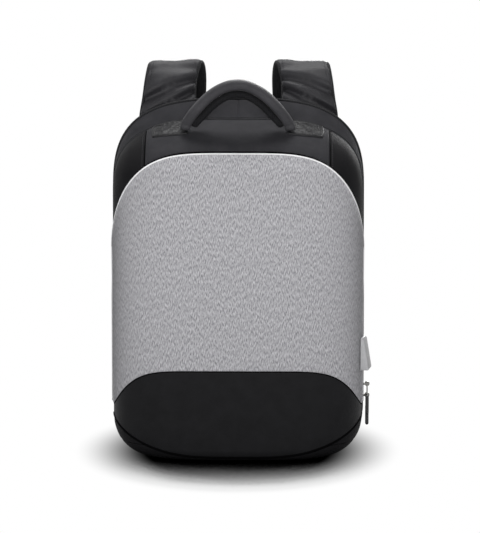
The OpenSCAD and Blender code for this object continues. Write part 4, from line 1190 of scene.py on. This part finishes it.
def puffed(made, voxel, pressure, cap, held):
    # cloth pressure run on a remeshed copy, capped and applied
    remesh = made.modifiers.new("remesh", "REMESH")
    remesh.mode = "VOXEL"
    remesh.voxel_size = voxel * mm
    settle(made)
    start = np.zeros(len(made.data.vertices) * 3)
    made.data.vertices.foreach_get("co", start)
    start = start.reshape(-1, 3)
    pins = made.vertex_groups.new(name="held")
    pins.add([int(i) for i in np.nonzero(held(start / mm))[0]], 1.0, "REPLACE")
    cloth = made.modifiers.new("cloth", "CLOTH")
    cloth.settings.quality = padCloth["quality"]
    cloth.settings.tension_stiffness = padCloth["stiffness"]
    cloth.settings.compression_stiffness = padCloth["stiffness"]
    cloth.settings.vertex_group_mass = "held"
    cloth.settings.use_pressure = True
    cloth.settings.uniform_pressure_force = pressure
    cloth.settings.effector_weights.gravity = 0
    for step in range(1, padCloth["frames"] + 1):
        bpy.context.scene.frame_set(step)
    swollen = np.zeros(start.size)
    evaluated(made).data.vertices.foreach_get("co", swollen)
    move = swollen.reshape(-1, 3) - start
    far = np.maximum(np.linalg.norm(move, axis=1, keepdims=True), 1e-9)
    made.modifiers.clear()
    made.vertex_groups.clear()
    made.data.vertices.foreach_set("co", (start + move * np.minimum(1, cap * mm / far)).ravel())
    smooth = made.modifiers.new("smooth", "SUBSURF")
    smooth.levels = smooth.render_levels = 1
    settle(made)
    made.data.polygons.foreach_set("use_smooth", [True] * len(made.data.polygons))
    bpy.context.scene.frame_set(1)


padShape = {"seat": 66.3, "edge": 1.6, "thick": 6.6, "pull": 0.02, "voxel": 4.0, "pressure": 4.0, "cap": 2.4,
            "pipeR": 1.3, "corner": 0.3, "pinned": 0.9}
# node, left, right, foot and top of each pad
pads = {"rightBackPad": ("right_back_pad", 12, 116, 238, 358),
        "leftBackPad": ("left_back_pad", -116, -12, 238, 358),
        "lumbarPad": ("lumbar_pad", -104, 104, 48, 158)}


def makePad(name, node, x0, x1, z0, z1):
    g = padShape
    side = np.cos(np.linspace(0, math.pi, 33))
    u, v = np.meshgrid(side, -side)
    midX, midZ, wide, tall = (x0 + x1) / 2, (z0 + z1) / 2, (x1 - x0) / 2, (z1 - z0) / 2
    x = midX - wide * u * (1 - g["pull"] * (1 - v ** 2))
    z = midZ + tall * v * (1 - g["pull"] * (1 - u ** 2))
    lift = np.sqrt(np.clip((1 - u ** 4) * (1 - v ** 4), 0, 1))
    outer = pointsAt(x, g["seat"] + g["edge"] + (g["thick"] - g["edge"]) * lift, z)
    made = addSheet(name, outer, pointsAt(x, g["seat"], z), finish["litPadNet"], 70)
    puffed(made, g["voxel"], g["pressure"], g["cap"], lambda p: p[:, 1] < g["seat"] + g["pinned"])
    made.data.materials.clear()
    made.data.materials.append(finish["litPadNet"])
    keep(made, "back_half", (node,))
    a = np.linspace(0, 2 * math.pi, 120, endpoint=False)
    edge = pointsAt(midX + wide * signed(np.cos(a), g["corner"]), g["seat"] + g["pipeR"],
                    midZ + tall * signed(np.sin(a), g["corner"]))
    cord(name + "Piping", edge, g["pipeR"], finish["webbing"], 10, "back_half", True)


trolley = {"half": 112.0, "low": 164.0, "high": 224.0, "seat": 66.3, "gap": 7.0, "thick": 2.0, "hem": 5.0,
           "thinShare": 0.55, "roll": 1.4, "groove": 0.35, "grooveWide": 0.8, "rowEnd": 3.0,
           "rowsIn": (3.0, 8.0), "rowOut": 0.15, "hemRowOut": 0.05}


def trolleyY(x):
    return trolley["seat"] + trolley["gap"] * (1 - (x / trolley["half"]) ** 4)


def makeTrolley():
    g = trolley
    tall = g["high"] - g["low"]
    x, z = np.meshgrid(g["half"] * (1 - 2 * spread(2 * g["half"], 5.0)), g["low"] + tall * spread(tall, 4.0))
    near = np.minimum(z - g["low"], g["high"] - z)
    edge = rolled(np.minimum(near, g["half"] - np.abs(x)), g["roll"])
    thick = g["thick"] * (g["thinShare"] + (1 - g["thinShare"]) * edge)
    thick = thick - g["groove"] * np.exp(-((near - g["hem"]) / g["grooveWide"]) ** 2)
    y = trolleyY(x)
    sew("trolleyBand", pointsAt(x, y + thick, z), pointsAt(x, y, z), finish["nylon"], "back_half",
        ("trolley_strap",), "black_nylon")
    line = np.linspace(g["low"] + g["rowEnd"], g["high"] - g["rowEnd"], 20)
    rows = [pointsAt(sx * (g["half"] - d), trolleyY(g["half"] - d) + g["thick"] + g["rowOut"], line)
            for sx in (-1, 1) for d in g["rowsIn"]]
    across = np.linspace(-g["half"] + g["rowEnd"], g["half"] - g["rowEnd"], 60)
    rows += [pointsAt(across, trolleyY(across) + g["thick"] + g["hemRowOut"], h)
             for h in (g["low"] + g["hem"], g["high"] - g["hem"])]
    stitches("trolleyStitches", rows, "back_half")


rootCloth = {"seat": 66.3, "thick": 1.1, "half": 113.0, "low": 360.0, "bend": 372.0, "high": 392.0,
             "topHalf": 70.0, "edge": 0.3, "roll": 1.0, "rowsUp": (3.0, 7.0), "rowEnd": 3.0, "rowOut": 0.1}


def makeStrapYoke():
    g = rootCloth
    tall = g["high"] - g["low"]
    z = (g["low"] + tall * spread(tall, 3.0))[:, None]
    slope = g["half"] + (g["topHalf"] - g["half"]) * (z - g["bend"]) / (g["high"] - g["bend"])
    x = np.where(z < g["bend"], g["half"], slope) * (1 - 2 * spread(2 * g["half"], 5.0))
    inner = pointsAt(x, g["seat"], z)
    near = np.min(edgeWays(inner), axis=0)
    outer = inner + pointsAt(0, g["edge"] + (g["thick"] - g["edge"]) * rolled(near, g["roll"]), 0)
    sew("strapYoke", outer, inner, finish["nylon"], "back_half", ("strap_yoke",), "black_nylon")
    across = np.linspace(g["rowEnd"] - g["half"], g["half"] - g["rowEnd"], 80)
    rows = [pointsAt(across, g["seat"] + g["thick"] + g["rowOut"], g["low"] + d) for d in g["rowsUp"]]
    stitches("yokeStitches", rows, "back_half")


makeRim()
makeBackFace()
for name, place in pads.items():
    makePad(name, *place)
makeTrolley()
makeStrapYoke()
print("back half ready")

# shoulder straps and their webbing

strap = {"x": 82.0, "wide": 62.0, "thick": 12.0, "rootThick": 4.0, "rootY": 69.9, "rootZ": 372.0,
         "crest": 81.0, "back": 66.0, "fall": 208.0, "twist": 12.0, "lean": 11.0, "splay": 24.0, "rings": 170,
         "around": 60, "soft": 0.6, "slim": 0.62, "edgeIn": 1.2, "crease": 0.5, "wrinkle": 0.25,
         "easeTop": 25, "easeFoot": 30, "foldAbove": 0.2, "netBelow": -0.3, "faceEase": 1.6, "bindR": 1.9,
         "bindIn": 1.6, "rowIn": 6, "rowUp": 0.72}
# the raised cloth beside a fold, as shares of the fold's depth and width
foldRidge = {"high": 0.6, "away": 2.2, "wide": 1.4}
# set back, rise or fall, thickness, turn, splay, lean and width, as shares
strapStations = [[0, -0.04, 0, 0, 0.12, 0, 1.06], [0, 0, 0.1, 0, 0.14, 0, 1.1],
                 [0.11, 0.25, 0.8, 0.1, 0.16, 0, 1.12], [0.21, 0.52, 1, 0.4, 0.1, 0, 1.06],
                 [0.32, 0.77, 1, 0.8, 0.04, 0, 1.02], [0.48, 0.95, 1, 1, 0, 0.15, 1],
                 [0.68, 1, 1, 1, 0, 0.5, 1], [0.86, 0.91, 1, 1, 0, 0.9, 1], [0.97, 0.69, 1, 0.9, 0, 1, 1],
                 [1, 0.37, 1, 0.7, 0.05, 0.9, 1], [0.97, -0.1, 1, 0.4, 0.25, 0.6, 0.98],
                 [0.9, -0.38, 1, 0.2, 0.5, 0.3, 0.93], [0.8, -0.62, 1, 0.1, 0.7, 0.1, 0.86],
                 [0.7, -0.84, 0.9, 0, 0.87, 0, 0.78], [0.6, -1, 0.5, 0, 1, 0, 0.68]]
# place along the strap, slant, depth and width of each fold on the front run
strapFolds = {"right": [(34, 0.55, 4.4, 3.6), (54, 0.6, 4.8, 3.8), (74, 0.45, 3.4, 4.2), (98, 0.2, 1.8, 5.0)],
              "left": [(30, 0.6, 4.6, 3.8), (48, 0.65, 4.8, 3.6), (68, 0.55, 3.8, 4.2), (94, 0.3, 1.8, 5.0)]}


def strapCourse():
    g = strap
    rows = []
    for back, rise, thick, turn, splay, lean, wide in strapStations:
        z = g["rootZ"] + rise * (g["fall"] if rise < 0 else g["crest"])
        rows.append([g["x"] + g["splay"] * splay - g["lean"] * lean, g["rootY"] + g["back"] * back, z,
                     g["wide"] * wide, g["rootThick"] + (g["thick"] - g["rootThick"]) * thick,
                     math.radians(g["twist"]) * turn])
    return smoothPath(rows, g["rings"])


def squared(side, way):
    # side turned square to the way along a path
    return unit(side - way * np.sum(side * way, axis=1, keepdims=True))


def strapFrames(course):
    way = unit(np.gradient(course[:, :3], axis=0))
    side = squared(pointsAt(-np.cos(course[:, 5]), np.sin(course[:, 5]), 0.0), way)
    return side, np.cross(way, side)


def makeStrap(sign, which):
    g = strap
    course, length = strapCourse()
    side, up = strapFrames(course)
    a = np.linspace(0, 2 * math.pi, g["around"], endpoint=False)
    u, v = signed(np.cos(a), g["soft"]), signed(np.sin(a), g["soft"])
    slim = g["slim"] + (1 - g["slim"]) * (1 - np.abs(u) ** 3)
    along = np.linspace(0, length, g["rings"])[:, None]
    over = (course[:, 3:4] / 2 - g["edgeIn"]) * u
    high = course[:, 4:5] / 2 * v * slim
    fold = np.zeros(over.shape)
    for place, slant, depth, wide in strapFolds[which]:
        off = along - place - slant * over
        ridge = np.exp(-((off - foldRidge["away"] * wide) / (foldRidge["wide"] * wide)) ** 2)
        fold += depth * np.exp(-(off / wide) ** 2) - foldRidge["high"] * depth * ridge
    points = course[:, None, :3] + side[:, None] * over[..., None] + up[:, None] * high[..., None]
    soft = g["crease"] * crumple(points, 26, 31 if sign > 0 else 35) + g["wrinkle"] * crumple(points, 11, 33)
    ends = np.clip(np.minimum(along / g["easeTop"], (length - along) / g["easeFoot"]), 0, 1)
    move = (soft - np.where(v > g["foldAbove"], fold, 0)) * ends * np.clip(np.abs(v) * g["faceEase"], 0, 1)
    points = (points + up[:, None] * (np.sign(v) * move)[..., None]) * [sign, 1, 1]
    made = ringSolid(which + "Strap", points, finish["strap"], ringUv(points), 70, False)
    made.data.materials.append(finish["net"])
    lower = np.tile(v < g["netBelow"], g["rings"] - 1).astype(int)
    made.data.polygons.foreach_set("material_index", np.concatenate([lower, [0, 0]]))
    body = which + "_shoulder_strap"
    keep(made, body, (which + "_strap",))
    for edge, label in ((1, "InnerBinding"), (-1, "OuterBinding")):
        path = (course[:, :3] + side * (edge * (course[:, 3:4] / 2 - g["bindIn"]))) * [sign, 1, 1]
        cord(which + label, path[2:-2], g["bindR"], finish["webbing"], 10, body)
    run = slice(8, -6)
    middle = course[run, :3] + up[run] * (course[run, 4:5] / 2 * g["rowUp"])
    reach = side[run] * (course[run, 3:4] / 2 - g["rowIn"])
    rows = [(middle + edge * reach) * [sign, 1, 1] for edge in (1, -1)]
    stitches(which + "StrapStitches", rows, body)


def ribbon(name, path, wide, thick):
    # flat webbing along a path, lying across the bag
    way = unit(np.gradient(path, axis=0))
    side = squared(np.array([[1.0, 0.0, 0.0]]), way)
    rings = slabRings(path, side, np.cross(way, side), wide, thick, 20, 0.28)
    return ringSolid(name, rings, finish["webbing"], ringUv(rings), 70)


strapWeb = {"wide": 25.0, "thick": 1.5, "from": (106.0, 107.5, 136.1), "to": (118.0, 70.5, 42.0),
            "bend": (118.0, 70.5, 62.0), "belly": 6.0, "free": 0.8, "tailTop": (106.0, 111.1, 159.9),
            "tail": 70.0, "wave": 0.5, "waveLong": 11.0, "rowY": 71.6, "rowHalf": 9.0, "rowLow": 44.0,
            "rowHigh": 60.0}


def makeWebbing(sign, which):
    g = strapWeb
    strapBody, turn = which + "_shoulder_strap", np.array([sign, 1, 1])
    start, end = np.array(g["from"]), np.array(g["to"])
    points = []
    for s in np.linspace(0, g["free"], 7)[:-1]:
        points.append(start + (end - start) * s + [0, g["belly"] * math.sin(math.pi * s) * (1 - s), 0])
    path = smoothPath(points + [g["bend"], end], 60)[0] * turn
    made = ribbon(which + "Webbing", path, g["wide"], g["thick"])
    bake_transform(made)
    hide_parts(which + "_webbing")
    x, y, z = g["tailTop"]
    fall = np.linspace(0, g["tail"], 40)
    path = pointsAt(x, y + g["wave"] * np.sin(fall / g["waveLong"]), z - fall) * turn
    made = ribbon(which + "WebbingTail", path, g["wide"], g["thick"])
    keep(made, strapBody, (which + "_webbing_tail",))
    across, rise = (-g["rowHalf"], g["rowHalf"]), (g["rowLow"], g["rowHigh"])
    rows = [pointsAt(end[0] + d, g["rowY"], np.linspace(*rise, 12)) * turn for d in across]
    rows += [pointsAt(end[0] + np.linspace(*across, 12), g["rowY"], h) * turn for h in rise]
    stitches(which + "TabStitches", rows, "back_half")


for sign, which in ((1, "right"), (-1, "left")):
    makeStrap(sign, which)
    makeWebbing(sign, which)
print("straps ready")

# inside: sleeve, pockets, hinge strip


def cornered(points, radius, count=8):
    # plan path with its inner corners rounded
    points = np.asarray(points, float)
    out = [points[0]]
    for before, corner, after in zip(points, points[1:], points[2:]):
        a, b = unit(before - corner), unit(after - corner)
        for t in np.linspace(0, 1, count):
            out.append(corner + radius * (a * (1 - t) ** 2 + b * t ** 2))
    return np.array(out + [points[-1]])


# plan path, foot, top, thickness, corner radius, body, node and seed
pockets = {
    "laptopSleeve": ([(-126.5, 57.2), (-126.5, 45.1), (126.5, 45.1), (126.5, 57.2)],
                     24, 300, 2.8, 5, "back_half", "laptop_sleeve", 41),
    "organiserPocket": ([(-89.4, -62.8), (-89.4, -49.6), (89.4, -49.6), (89.4, -62.8)],
                        30, 200, 1.2, 5, "front_half", "organiser_pocket", 43),
    "powerBankPocket": ([(140.5, -10.6), (112.6, -10.6), (112.6, -47.4), (126.0, -47.4)],
                        30, 140, 1.2, 4, "front_half", "power_bank_pocket", 44),
}
pocketCloth = {"step": 5.0, "stepUp": 7.0, "crease": 0.3, "bindOut": 0.4, "floorUp": 0.3, "floorShare": 0.8}


def makePocket(name, plan, low, high, thick, radius, body, node, seed):
    # wall that stands on the plan path, with a bound top edge and a floor
    g = pocketCloth
    line = cornered(plan, radius)
    fine, _ = smoothPath(line, max(24, int(runLength(line)[-1] / g["step"])))
    way = unit(np.gradient(fine, axis=0))
    z = low + (high - low) * spread(high - low, g["stepUp"])
    base = pointsAt(fine[:, 0], fine[:, 1], z[:, None])
    soft = g["crease"] * crumple(base, 30, seed)
    edge = thick / 2 * (0.5 + 0.5 * rolled(np.minimum(high - base[..., 2], base[..., 2] - low), thick))
    out = pointsAt(way[:, 1], -way[:, 0], 0.0)
    wall = [base + out * (soft + side * edge)[..., None] for side in (1, -1)]
    sew(name, *wall, finish["lining"], body, (node,), "lining")
    top = pointsAt(fine[:, 0], fine[:, 1], high - thick / 2)
    cord(name + "Binding", top, thick / 2 + g["bindOut"], finish["webbing"], 10, body)
    share = np.linspace(0, 1, 8)[:, None]
    flat = pointsAt(fine[:, 0], fine[:, 1] + (plan[0][1] - fine[:, 1]) * share, low + g["floorUp"])
    sew(name + "Floor", flat + [0, 0, thick * g["floorShare"]], flat, finish["lining"], body, (), "lining")


for name, settings in pockets.items():
    makePocket(name, *settings)


closer = {"wide": 40.0, "thick": 1.3,
          "path": [(57.0, 344), (57.0, 318), (56.6, 306), (54.6, 304.7), (49.0, 304.5), (44.2, 304.3),
                   (42.7, 302.4), (42.7, 288), (42.7, 270)]}


def makeCloser():
    path, _ = smoothPath([(0, y, z) for y, z in closer["path"]], 70)
    made = ribbon("sleeveCloser", path, closer["wide"], closer["thick"])
    keep(made, "back_half", ("sleeve_strap",))


foldStrip = {"half": 72.0, "back": 59.5, "thick": 1.2, "low": 13.0, "high": 19.5, "tuck": 0.35, "roll": 0.6}


def makeFoldStrip():
    g = foldStrip
    x, z = np.meshgrid(g["half"] * (1 - 2 * spread(2 * g["half"], 6.0)), np.linspace(g["low"], g["high"], 14))
    outer, inner = pointsAt(x, g["back"], z), pointsAt(x, g["back"] - g["thick"], z)
    near = np.min(edgeWays(outer), axis=0)
    outer[..., 1] -= g["tuck"] * (1 - rolled(near, g["roll"]))
    made = addSheet("foldStrip", outer, inner, finish["nylon"], 60)
    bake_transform(made)
    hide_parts("hinge_strip")


makeCloser()
makeFoldStrip()
print("inside ready")
